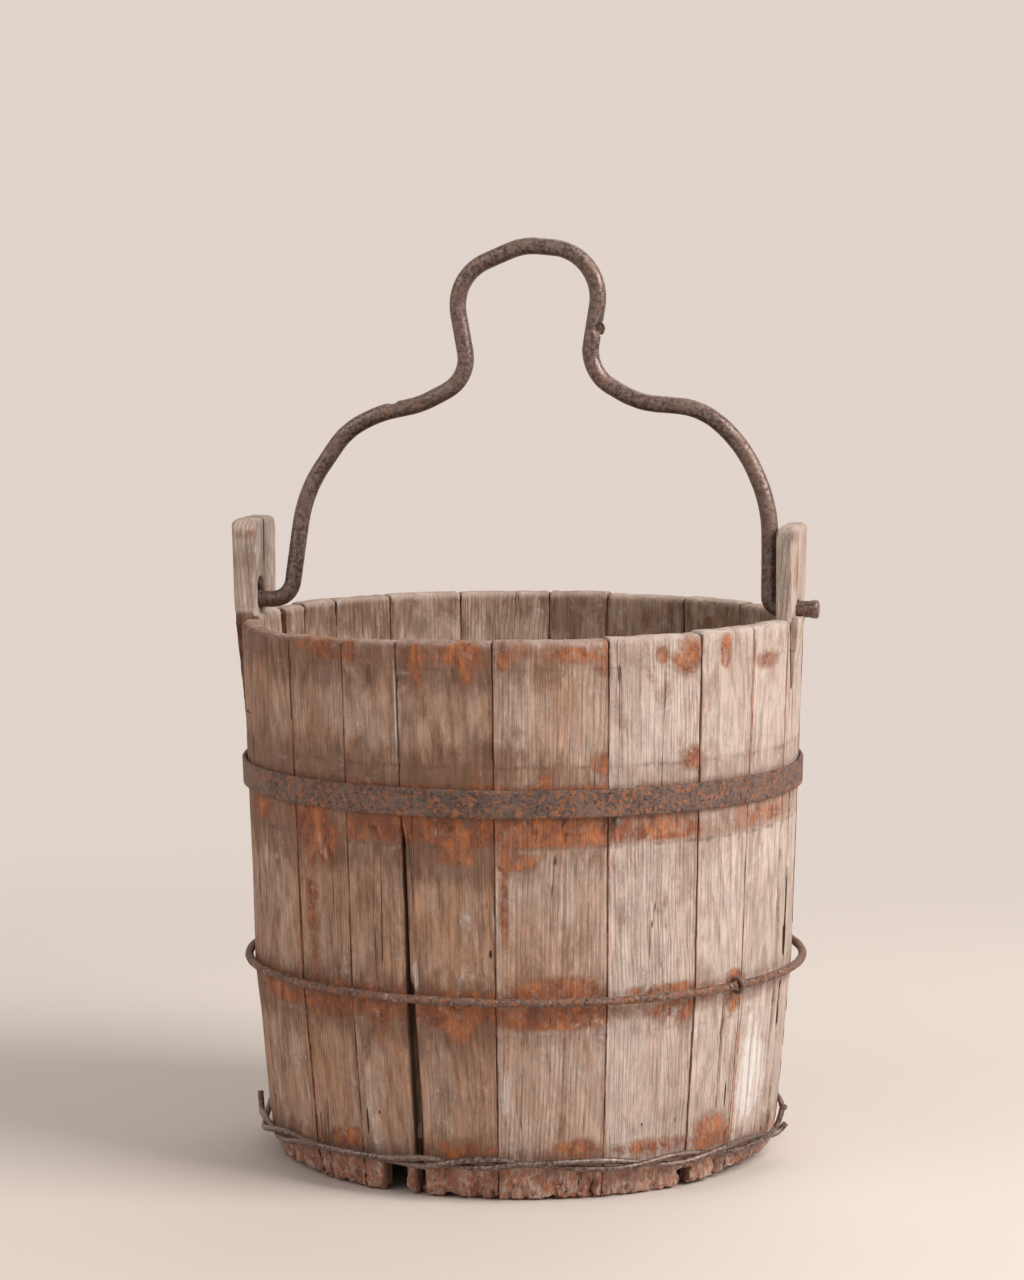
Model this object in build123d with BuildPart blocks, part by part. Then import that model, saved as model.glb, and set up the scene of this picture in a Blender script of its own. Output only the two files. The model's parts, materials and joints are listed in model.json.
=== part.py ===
from build123d import *
from math import cos, degrees, pi, radians, sin, tan
import os

os.makedirs("parts", exist_ok=True)

# A coopered well bucket: staves round a boarded bottom, held by an iron band and wires.
# The origin is on the floor under the centre of the bottom. The ears stand along X.
# Angles round the bucket are in degrees, from the front (-Y) towards the right ear (+X).

# Driving sizes of the wooden body, in millimetres
body_height = 292.0
rim_radius = 153.0
waist_radius = 147.3
waist_height = 105.0
foot_radius = 138.0
stave_thickness = 12.0
joint_gap = 0.3
rim_unevenness = 3.0
foot_wear = 4.0
rim_chamfer = 1.5
foot_chamfer = 2.5

# Ear staves
ear_rise = 51.5
ear_corner_radius = 8.0
ear_thickness = 10.3
ear_ledge_drop = 2.0
left_ear_proud = 5.0
left_ear_thicker = 2.0
ear_slot_wear = 7.5

# Bottom boards and the groove that holds them
bottom_clear = 26.0
bottom_thickness = 14.0
tongue_thickness = 7.0
tongue_bevel = 10.0
groove_depth = 4.5
groove_clearance = 0.3
wall_clearance = 0.5
board_gap = 0.3
bottom_board_count = 3
dowel_radius = 4.0
dowel_length = 36.0
dowel_clearance = 0.1
dowel_spread = 120.0

# Iron band with its lap joint, rivets and nail
band_bottom = 201.4
band_width = 15.0
band_thickness = 2.3
band_fit = 0.15
lap_clearance = 0.1
rivet_radius = 2.2
rivet_head_radius = 4.5
rivet_head_height = 1.6
rivet_head_taper = 20.0
rivet_clearance = 0.05
nail_radius = 1.3
nail_head_radius = 2.3
nail_head_height = 1.6
nail_head_taper = 15.0
nail_depth = 10.0
nail_standoff = 1.4
nail_drop = 0.3

# Middle wire, slack towards the back right, and its tie
mid_wire_height = 106.5
mid_wire_radius = 2.5
mid_wire_slack = 1.7
mid_wire_fit = 0.15
tie_radius = 1.1
tie_clearance = 0.1

# Low twisted pair of wires
low_wire_height = 20.5
low_wire_radius = 1.25
low_wire_fit = 0.15
strand_clearance = 0.1
strand_bend_radius = 7.0
wire_end_reach = 6.0
wire_end_rise = 15.0

# Bail of round iron rod
pivot_rise = 6.5
pivot_offset = 9.0
bail_rod_radius = 4.7
bail_rise = 194.0
bail_hole_clearance = 0.4
bail_leg_clearance = 0.8
bail_left_bend = 11.5
bail_end_recess = 1.0
bail_end_length = 11.0
bail_head_flare = 0.6
bail_head_length = 3.0
bail_end_round = 1.2

# Missing wood at the feet: the middle of each gap in degrees, its width and its height
big_gap_angle, big_gap_width, big_gap_height = -17.7, 14.0, 19.0
small_gap_angle, small_gap_width, small_gap_height = 50.8, 10.0, 11.0
foot_gaps = [
    (big_gap_angle, big_gap_width, big_gap_height),
    (small_gap_angle, small_gap_width, small_gap_height),
]
overrun = 20.0

# Joints between staves in degrees, from the left ear's front edge round to its back edge
right_ear_angles = [80.5, 98.5]
left_ear_angles = [262.0, 279.5]
front_joint_angles = [
    left_ear_angles[1] - 360, -60.5, -40.5, -25.0, -12.5,
    7.0, 29.5, 50.0, 65.0, right_ear_angles[0],
]
back_joint_angles = [
    right_ear_angles[1], 111.0, 123.0, 133.0, 152.0, 172.5,
    186.5, 207.5, 225.5, 241.5, 253.0, left_ear_angles[0],
]

# How far each stave's top stands above (+) or below (-) body_height, as shares of rim_unevenness
front_rim_shares = [-0.8, -1.0, -0.6, -0.3, 0.1, 0.3, 0.6, 0.9, 0.9]
back_rim_shares = [0.3, 0.0, -0.1, 0.0, -0.2, 0.1, 0.0, 0.1, 0.0, 0.1, -0.3]

# How far each stave's foot has rotted short of the floor, as shares of foot_wear
front_foot_shares = [1.0, 0.4, 0.0, 0.0, 0.0, 0.0, 0.0, 0.3, 0.9]
back_foot_shares = [0.5, 0.0, 0.3, 0.0, 0.0, 0.4, 0.0, 0.0, 0.6, 0.0, 0.5]
ear_foot_share = 0.8

# Lap of the band at the back, nail, wire ends and twist
lap_angle = 184.0
lap_half_angle = 9.0
lap_step_angle = 2.0
rivet_half_angle = 4.0
nail_angle = 31.5
tie_angle = 59.5
tie_gap_angle = 0.5
slack_angle = 125.0
twist_angle = 22.5
twist_step_count = 6

# Corners of the bail: across, as shares of the right leg's distance from the middle,
# and up, as shares of bail_rise, then how much of the shorter side beside it the bend takes
bail_corner_shares = [
    (-0.874, 0.305, 0.43),
    (-0.702, 0.479, 0.49),
    (-0.564, 0.529, 0.39),
    (-0.394, 0.554, 0.30),
    (-0.196, 0.628, 0.47),
    (-0.269, 0.911, 0.48),
    (0.020, 0.998, 0.30),
    (0.225, 0.985, 0.49),
    (0.329, 0.889, 0.49),
    (0.273, 0.647, 0.47),
    (0.479, 0.564, 0.31),
    (0.733, 0.551, 0.44),
    (0.898, 0.445, 0.49),
    (1.000, 0.281, 0.45),
]
bail_left_foot_share = 0.937

# Each strand of the low pair: where it starts and ends, in twists from the front, its turn
# round the pair, and how far its two ends rise, as shares of wire_end_rise
strand_shares = {
    "low_wire_long": (3.75, -11.25, 0.0, (-0.1, 0.2)),
    "low_wire_short": (3.75, -3.5, 0.5, (0.2, 1.0)),
}


# Places worked out from the sizes
def wall_radius(height):
    """Outer radius of the staves at a height above the floor."""
    if height < waist_height:
        share = height / waist_height
        return foot_radius + (waist_radius - foot_radius) * share
    share = (height - waist_height) / (body_height - waist_height)
    return waist_radius + (rim_radius - waist_radius) * share


def inner_radius(height):
    """Inner radius of the staves at a height above the floor."""
    return wall_radius(height) - stave_thickness


def outward(angle):
    """Level direction out from the axis at an angle round the bucket."""
    return Vector(sin(radians(angle)), -cos(radians(angle)), 0)


def round_plane(angle, centre=Vector(0, 0, 0)):
    """Upright plane through the centre, with X pointing out at this angle."""
    out = outward(angle)
    return Plane(origin=centre, x_dir=out, z_dir=out.cross(Vector(0, 0, 1)))


def facing_plane(angle, radius, height):
    """Plane that faces out of the bucket at this angle, radius and height."""
    out = outward(angle)
    across = Vector(0, 0, 1).cross(out)
    return Plane(origin=out * radius + Vector(0, 0, height), x_dir=across, z_dir=out)


ear_top = body_height + ear_rise
pivot_height = body_height + pivot_rise
ear_inner_face = wall_radius(pivot_height) - ear_thickness
left_ear_lean = left_ear_proud - left_ear_thicker
groove_middle = bottom_clear + bottom_thickness / 2
groove_low = groove_middle - tongue_thickness / 2 - groove_clearance
groove_high = groove_middle + tongue_thickness / 2 + groove_clearance
band_top = band_bottom + band_width
bail_hole_radius = bail_rod_radius + bail_hole_clearance
bail_leg = ear_inner_face - bail_leg_clearance - bail_rod_radius
gap_angle = degrees(joint_gap / rim_radius)


def stave_outline(top, foot, proud=0.0, lean=0.0):
    """Section of a stave, with the groove for the bottom.

    A proud stave leans out above the band: at the rim its outside stands out by proud
    and its inside by lean.
    """
    outside = [
        (wall_radius(foot) - foot_chamfer, foot),
        (wall_radius(foot + foot_chamfer), foot + foot_chamfer),
        (waist_radius, waist_height),
    ]
    lean_start = band_top + rim_chamfer
    if proud > 0:
        outside.append((wall_radius(lean_start), lean_start))
        outside.append((wall_radius(body_height) + proud, body_height))
    outside.append((wall_radius(top - rim_chamfer) + proud, top - rim_chamfer))
    outside.append((wall_radius(top) + proud - rim_chamfer, top))
    inside = [
        (inner_radius(top) + lean + rim_chamfer, top),
        (inner_radius(top - rim_chamfer) + lean, top - rim_chamfer),
    ]
    if lean > 0:
        inside.append((inner_radius(body_height) + lean, body_height))
        inside.append((inner_radius(lean_start), lean_start))
    inside += [
        (inner_radius(waist_height), waist_height),
        (inner_radius(groove_high), groove_high),
        (inner_radius(groove_high) + groove_depth, groove_high),
        (inner_radius(groove_low) + groove_depth, groove_low),
        (inner_radius(groove_low), groove_low),
        (inner_radius(foot), foot),
    ]
    return outside + inside


def stave_section(start, top, foot, proud=0.0, lean=0.0):
    """Face of a stave's section beside the joint that it starts from."""
    with BuildSketch(round_plane(start + gap_angle / 2)) as section:
        with BuildLine():
            Polyline(*stave_outline(top, foot, proud, lean), close=True)
        make_face()
    return section.sketch


def stave_arc(start, end):
    """Turn from one side of a stave to the other, leaving the joint's gap."""
    return end - start - gap_angle


def foot_gap_face(angle, width, height):
    """Face of a square gap up from the foot of a stave."""
    with BuildSketch(facing_plane(angle, inner_radius(0) / 2, 0)) as gap:
        Rectangle(width, 2 * height)
    return gap.sketch


def make_stave(name, start, end, rim_share, foot_share):
    """Plain stave, with any gap in its foot and the hole of the band's nail."""
    top = body_height + rim_unevenness * rim_share
    foot = foot_wear * foot_share
    with BuildPart() as stave:
        revolve(stave_section(start, top, foot), axis=Axis.Z, revolution_arc=stave_arc(start, end))
        for angle, width, height in foot_gaps:
            gap_half_angle = degrees(width / 2 / foot_radius)
            if start - gap_half_angle < angle < end + gap_half_angle:
                extrude(foot_gap_face(angle, width, height), amount=rim_radius, mode=Mode.SUBTRACT)
        if start < nail_angle < end:
            nail_height = band_bottom - nail_drop - nail_head_radius
            with BuildSketch(facing_plane(nail_angle, wall_radius(nail_height) - nail_depth, nail_height)):
                Circle(nail_radius + dowel_clearance)
            extrude(amount=nail_depth + overrun, mode=Mode.SUBTRACT)
    stave.part.label = name
    export_step(stave.part, f"parts/{name}.step")


stave_number = 0
for joints, rims, feet in (
    (front_joint_angles, front_rim_shares, front_foot_shares),
    (back_joint_angles, back_rim_shares, back_foot_shares),
):
    for start, end, rim_share, foot_share in zip(joints[:-1], joints[1:], rims, feet):
        stave_number += 1
        make_stave(f"stave_{stave_number:02d}", start, end, rim_share, foot_share)


def make_ear_stave(name, start, end, side, proud, lean, slot_wear):
    """Long stave that rises past the rim into an ear, bored for the bail.

    side is 1 for the right ear and -1 for the left one.
    """
    with BuildPart() as ear:
        section = stave_section(start, ear_top, foot_wear * ear_foot_share, proud, lean)
        revolve(section, axis=Axis.Z, revolution_arc=stave_arc(start, end))
        top_edges = ear.edges().group_by(Axis.Z)[-1]
        corner_edges = top_edges.filter_by(GeomType.LINE)
        fillet(corner_edges, radius=ear_corner_radius)
        with BuildSketch(Plane.XY.offset(body_height - ear_ledge_drop)):
            with Locations((side * (ear_inner_face + lean) / 2, 0)):
                Rectangle(ear_inner_face + lean, rim_radius)
        extrude(amount=ear_rise + ear_ledge_drop, mode=Mode.SUBTRACT)
        with BuildSketch(Plane.YZ):
            with Locations((-pivot_offset, pivot_height + slot_wear / 2)):
                if slot_wear > 0:
                    SlotCenterToCenter(slot_wear, 2 * bail_hole_radius, rotation=90)
                else:
                    Circle(bail_hole_radius)
        extrude(amount=side * (rim_radius + overrun), mode=Mode.SUBTRACT)
    ear.part.label = name
    export_step(ear.part, f"parts/{name}.step")


make_ear_stave("ear_stave_right", *right_ear_angles, 1, 0.0, 0.0, 0.0)
make_ear_stave("ear_stave_left", *left_ear_angles, -1, left_ear_proud, left_ear_lean, ear_slot_wear)

# Bottom boards, one disc sawn into boards that run front to back, joined by dowels
tongue_tip = inner_radius(groove_low) + groove_depth - groove_clearance
tongue_root = inner_radius(bottom_clear) - wall_clearance
board_width = 2 * tongue_tip / bottom_board_count
bottom_outline = [
    (0, bottom_clear),
    (tongue_root - tongue_bevel, bottom_clear),
    (tongue_root, groove_low + groove_clearance),
    (tongue_tip, groove_low + groove_clearance),
    (tongue_tip, groove_high - groove_clearance),
    (tongue_root, groove_high - groove_clearance),
    (tongue_root - tongue_bevel, bottom_clear + bottom_thickness),
    (0, bottom_clear + bottom_thickness),
]
seam_places = [board_width * (seam - bottom_board_count / 2) for seam in range(1, bottom_board_count)]

for board in range(bottom_board_count):
    with BuildPart() as bottom_board:
        with BuildSketch(Plane.XZ):
            with BuildLine():
                Polyline(*bottom_outline, close=True)
            make_face()
        revolve(axis=Axis.Z)
        middle = board_width * (board + 0.5 - bottom_board_count / 2)
        with BuildSketch(Plane.XY):
            with Locations((middle, 0)):
                Rectangle(board_width - board_gap, 2 * rim_radius)
        extrude(amount=body_height, mode=Mode.INTERSECT)
        for seam in seam_places:
            with BuildSketch(Plane.YZ.offset(seam - dowel_length / 2 - dowel_clearance)):
                with GridLocations(dowel_spread, 0, 2, 1):
                    with Locations((0, groove_middle)):
                        Circle(dowel_radius + dowel_clearance)
            extrude(amount=dowel_length + 2 * dowel_clearance, mode=Mode.SUBTRACT)
    bottom_board.part.label = f"bottom_board_{board + 1}"
    export_step(bottom_board.part, f"parts/bottom_board_{board + 1}.step")

with BuildPart() as bottom_dowels:
    for seam in seam_places:
        with BuildSketch(Plane.YZ.offset(seam - dowel_length / 2)):
            with GridLocations(dowel_spread, 0, 2, 1):
                with Locations((0, groove_middle)):
                    Circle(dowel_radius)
        extrude(amount=dowel_length)
bottom_dowels.part.label = "bottom_dowels"
export_step(bottom_dowels.part, "parts/bottom_dowels.step")


# Iron band, one strip whose end steps out and laps over its start at the back
def band_section(inner_gap, outer_gap):
    """Section of the strip between two distances outside the wood."""
    low = wall_radius(band_bottom)
    high = wall_radius(band_top)
    return [
        (low + inner_gap, band_bottom),
        (low + outer_gap, band_bottom),
        (high + outer_gap, band_top),
        (high + inner_gap, band_top),
    ]


def band_face(start, inner_gap, outer_gap):
    """Face of the strip's section at an angle round the bucket."""
    with BuildSketch(round_plane(start)) as section:
        with BuildLine():
            Polyline(*band_section(inner_gap, outer_gap), close=True)
        make_face()
    return section.sketch


band_outer = band_fit + band_thickness
lap_inner = band_outer + lap_clearance
lap_outer = lap_inner + band_thickness
lap_start = lap_angle - lap_half_angle
lap_end = lap_angle + lap_half_angle
rivet_angles = [lap_angle - rivet_half_angle, lap_angle + rivet_half_angle]
band_middle = band_bottom + band_width / 2

with BuildPart() as iron_band:
    for start, end, inner_gap, outer_gap in (
        (lap_start, lap_start + 360 - 2 * lap_step_angle, band_fit, band_outer),
        (lap_start - 2 * lap_step_angle, lap_start - lap_step_angle, band_fit, lap_outer),
        (lap_start - lap_step_angle, lap_end, lap_inner, lap_outer),
    ):
        revolve(band_face(start, inner_gap, outer_gap), axis=Axis.Z, revolution_arc=end - start)
    for angle in rivet_angles:
        with BuildSketch(facing_plane(angle, inner_radius(band_middle), band_middle)):
            Circle(rivet_radius + rivet_clearance)
        extrude(amount=stave_thickness + overrun, mode=Mode.SUBTRACT)
iron_band.part.label = "iron_band"
export_step(iron_band.part, "parts/iron_band.step")

band_widest = max(wall_radius(band_bottom), wall_radius(band_top))
rivet_start = band_widest + band_fit
rivet_seat = band_widest + lap_outer
with BuildPart() as band_rivets:
    for angle in rivet_angles:
        with BuildSketch(facing_plane(angle, rivet_start, band_middle)):
            Circle(rivet_radius)
        extrude(amount=rivet_seat - rivet_start + rivet_head_height / 2)
        with BuildSketch(facing_plane(angle, rivet_seat, band_middle)):
            Circle(rivet_head_radius)
        extrude(amount=rivet_head_height, taper=rivet_head_taper)
band_rivets.part.label = "band_rivets"
export_step(band_rivets.part, "parts/band_rivets.step")

nail_height = band_bottom - nail_drop - nail_head_radius
nail_tip = wall_radius(nail_height) - nail_depth
with BuildPart() as band_nail:
    with BuildSketch(facing_plane(nail_angle, nail_tip, nail_height)):
        Circle(nail_radius)
    extrude(amount=nail_depth + nail_standoff + nail_head_height / 2)
    with BuildSketch(facing_plane(nail_angle, wall_radius(nail_height) + nail_standoff, nail_height)):
        Circle(nail_head_radius)
    extrude(amount=nail_head_height, taper=nail_head_taper)
band_nail.part.label = "band_nail"
export_step(band_nail.part, "parts/band_nail.step")

# Middle wire, an open ring that sits against the front and stands off at the back right
mid_wire_touch = wall_radius(mid_wire_height) + mid_wire_fit + mid_wire_radius
mid_ring_radius = mid_wire_touch + mid_wire_slack
mid_ring_centre = outward(slack_angle) * mid_wire_slack + Vector(0, 0, mid_wire_height)

with BuildPart() as mid_wire:
    with BuildSketch(round_plane(tie_angle + tie_gap_angle, mid_ring_centre)):
        with Locations((mid_ring_radius, 0)):
            Circle(mid_wire_radius)
    revolve(axis=Axis(mid_ring_centre, (0, 0, 1)), revolution_arc=360 - 2 * tie_gap_angle)
mid_wire.part.label = "mid_wire"
export_step(mid_wire.part, "parts/mid_wire.step")

tie_out = outward(tie_angle)
tie_middle = mid_ring_centre + tie_out * mid_ring_radius
tie_ring_radius = mid_wire_radius + tie_clearance + tie_radius
with BuildPart() as mid_wire_tie:
    with BuildSketch(Plane(origin=tie_middle, x_dir=tie_out, z_dir=(0, 0, 1))):
        with Locations((tie_ring_radius, 0)):
            Circle(tie_radius)
    revolve(axis=Axis(tie_middle, tie_out.cross(Vector(0, 0, 1))), revolution_arc=360)
mid_wire_tie.part.label = "mid_wire_tie"
export_step(mid_wire_tie.part, "parts/mid_wire_tie.step")

# Low wires, two strands twisted round each other against the staves' feet
strand_offset = (low_wire_radius + strand_clearance / 2) / cos(pi / twist_step_count)
low_ring_radius = wall_radius(low_wire_height) + low_wire_fit + low_wire_radius + strand_offset


def strand_points(first_twist, last_twist, turn_share, rise_shares):
    """Points along one strand of the pair, with both its ends bent out."""
    count = round(abs(last_twist - first_twist) * twist_step_count)
    points = []
    for step in range(count + 1):
        twists = first_twist + (last_twist - first_twist) * step / count
        turn = 2 * pi * (twists + turn_share)
        radius = low_ring_radius + strand_offset * cos(turn)
        height = low_wire_height + strand_offset * sin(turn)
        points.append(outward(twists * twist_angle) * radius + Vector(0, 0, height))
    stubs = []
    for end, before, twists, rise_share in (
        (points[0], points[1], first_twist, rise_shares[0]),
        (points[-1], points[-2], last_twist, rise_shares[1]),
    ):
        sideways = ((end - before).normalized() + outward(twists * twist_angle)) * wire_end_reach
        stubs.append(end + sideways + Vector(0, 0, wire_end_rise * rise_share))
    return [stubs[0]] + points + [stubs[1]]


for name, shares in strand_shares.items():
    with BuildPart() as low_wire:
        with BuildLine() as strand:
            FilletPolyline(*strand_points(*shares), radius=strand_bend_radius)
        with BuildSketch(Plane(origin=strand.line @ 0, z_dir=strand.line % 0)):
            Circle(low_wire_radius)
        sweep()
    low_wire.part.label = name
    export_step(low_wire.part, f"parts/{name}.step")


# Bail, one rod bent in a plane, with its ends turned out through the ears
bail_left_end = -wall_radius(pivot_height) - left_ear_proud + bail_end_recess
bail_right_end = wall_radius(pivot_height) + bail_end_length
bail_left_foot = -bail_leg * bail_left_foot_share
bail_right_bend = bail_rod_radius + bail_leg_clearance + bail_hole_clearance
bail_corners = [(bail_leg * across, bail_rise * up) for across, up, _ in bail_corner_shares]
bail_points = [(bail_left_end, 0), (bail_left_foot, 0)] + bail_corners
bail_points += [(bail_leg, 0), (bail_right_end, 0)]
bail_plane = Plane(origin=(0, -pivot_offset, pivot_height), x_dir=(1, 0, 0), z_dir=(0, -1, 0))


def bend_radius(before, corner, after, bend_share):
    """Radius of a bend that takes a share of the shorter side beside its corner."""
    side_in = Vector(corner) - Vector(before)
    side_out = Vector(after) - Vector(corner)
    half_turn = radians(side_in.get_angle(side_out)) / 2
    return bend_share * min(side_in.length, side_out.length) / tan(half_turn)


corner_radii = [
    bend_radius(*bail_points[spot + 1:spot + 4], shares[-1])
    for spot, shares in enumerate(bail_corner_shares)
]
bail_radii = [bail_left_bend] + corner_radii + [bail_right_bend]

with BuildPart() as bail:
    with BuildLine(bail_plane) as bail_route:
        FilletPolyline(*bail_points, radius=bail_radii)
    with BuildSketch(Plane(origin=bail_route.line @ 0, z_dir=bail_route.line % 0)):
        Circle(bail_rod_radius)
    sweep()
    with BuildSketch(Plane.YZ.offset(bail_right_end - bail_head_length)):
        with Locations((-pivot_offset, pivot_height)):
            Circle(bail_rod_radius + bail_head_flare)
    extrude(amount=bail_head_length)
    end_faces = bail.faces().filter_by(Axis.X).sort_by(Axis.X)
    fillet([end_faces[0].edges()[0], end_faces[-1].edges()[0]], radius=bail_end_round)
bail.part.label = "bail"
export_step(bail.part, "parts/bail.step")
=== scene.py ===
import json
from math import atan2, cos, degrees, hypot, pi, radians, sin
from random import Random
import bpy
from mathutils import Matrix, Vector, noise

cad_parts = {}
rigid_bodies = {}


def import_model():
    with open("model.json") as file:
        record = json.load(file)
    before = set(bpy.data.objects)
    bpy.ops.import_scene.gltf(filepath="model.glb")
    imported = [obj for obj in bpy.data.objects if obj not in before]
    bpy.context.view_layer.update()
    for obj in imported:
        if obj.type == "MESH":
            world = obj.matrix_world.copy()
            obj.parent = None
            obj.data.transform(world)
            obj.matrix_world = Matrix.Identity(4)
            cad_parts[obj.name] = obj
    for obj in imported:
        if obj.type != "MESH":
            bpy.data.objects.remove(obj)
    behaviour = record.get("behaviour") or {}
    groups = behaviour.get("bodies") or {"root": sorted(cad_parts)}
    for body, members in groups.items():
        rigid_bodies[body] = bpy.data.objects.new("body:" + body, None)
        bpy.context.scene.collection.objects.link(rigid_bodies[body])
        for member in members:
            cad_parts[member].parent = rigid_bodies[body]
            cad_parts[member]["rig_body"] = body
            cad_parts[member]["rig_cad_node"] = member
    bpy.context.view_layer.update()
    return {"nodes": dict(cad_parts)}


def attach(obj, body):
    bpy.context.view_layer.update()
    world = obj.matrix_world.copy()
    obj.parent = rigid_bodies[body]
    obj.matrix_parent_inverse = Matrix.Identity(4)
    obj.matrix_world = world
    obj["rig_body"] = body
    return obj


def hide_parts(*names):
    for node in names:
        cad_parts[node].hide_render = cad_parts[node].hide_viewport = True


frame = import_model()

# Sizes and places of the bucket, in metres, with angles in degrees from the front
BUCKET = "bucket"
HANDLE = "handle"
RIM_HEIGHT = 0.292
RIM_RADIUS = 0.153
WAIST_HEIGHT = 0.105
WAIST_RADIUS = 0.1473
FOOT_RADIUS = 0.138
STAVE_THICKNESS = 0.012
LEFT_EAR_PROUD = 0.005
EAR_LEAN_START = 0.2179
BAND_BOTTOM = 0.2014
BAND_TOP = 0.2164
MID_WIRE_HEIGHT = 0.1065
LOW_WIRE_HEIGHT = 0.0205
LOW_WIRE_RADIUS = 0.0016
JOINT_HALF_GAP = 0.00015
CORNER_REACH = 0.0014

# Heights where dirt gathers, and where old hoops left a line, with its strength
DIRTY_HEIGHTS = (0.2850, 0.2215, 0.1860, 0.0990, 0.0100)
OLD_HOOP_LINES = ((0.2775, 0.30), (0.2272, 0.42), (0.1858, 0.55), (0.0880, 0.20))

# The photograph's camera
PHOTO_HEIGHT = 1280
FOCAL_PIXELS = 3800
CAMERA_DISTANCE = 2.062
CAMERA_HEIGHT = 0.4868
CAMERA_SIDE = -0.0058
CAMERA_DOWN = 5.79
CAMERA_TURN = 13.0
CAMERA_ROLL = -0.10
SENSOR_WIDTH = 36.0

# Each stave: the joints that it runs between, how pale and how grimy it is, and how
# much rust it took from the band, the middle wire and the low wires
STAVES = {
    "stave_01": (-80.5, -60.5, 0.10, 0.55, 0.40, 0.55, 0.30),
    "stave_02": (-60.5, -40.5, 0.15, 0.60, 0.45, 0.70, 0.30),
    "stave_03": (-40.5, -25.0, 0.12, 0.60, 0.60, 0.85, 0.45),
    "stave_04": (-25.0, -12.5, 0.18, 0.55, 0.75, 0.80, 0.25),
    "stave_05": (-12.5, 7.0, 0.08, 0.70, 0.85, 0.95, 0.60),
    "stave_06": (7.0, 29.5, 0.36, 0.36, 0.95, 0.85, 0.50),
    "stave_07": (29.5, 50.0, 0.85, 0.15, 0.55, 0.50, 0.45),
    "stave_08": (50.0, 65.0, 0.90, 0.12, 0.45, 0.55, 0.60),
    "stave_09": (65.0, 80.5, 1.00, 0.08, 0.40, 0.35, 0.40),
    "stave_10": (98.5, 111.0, 0.65, 0.30, 0.55, 0.60, 0.50),
    "stave_11": (111.0, 123.0, 0.40, 0.50, 0.50, 0.70, 0.45),
    "stave_12": (123.0, 133.0, 0.50, 0.40, 0.60, 0.60, 0.50),
    "stave_13": (133.0, 152.0, 0.45, 0.45, 0.55, 0.65, 0.50),
    "stave_14": (152.0, 172.5, 0.55, 0.35, 0.70, 0.75, 0.40),
    "stave_15": (172.5, 186.5, 0.30, 0.60, 0.80, 0.70, 0.55),
    "stave_16": (186.5, 207.5, 0.50, 0.40, 0.60, 0.80, 0.50),
    "stave_17": (207.5, 225.5, 0.60, 0.30, 0.50, 0.70, 0.45),
    "stave_18": (225.5, 241.5, 0.40, 0.55, 0.60, 0.65, 0.50),
    "stave_19": (241.5, 253.0, 0.40, 0.45, 0.50, 0.60, 0.50),
    "stave_20": (253.0, 262.0, 0.45, 0.50, 0.45, 0.60, 0.45),
    "ear_stave_right": (80.5, 98.5, 0.95, 0.10, 0.35, 0.40, 0.40),
    "ear_stave_left": (262.0, 279.5, 0.78, 0.25, 0.35, 0.55, 0.35),
}

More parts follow.
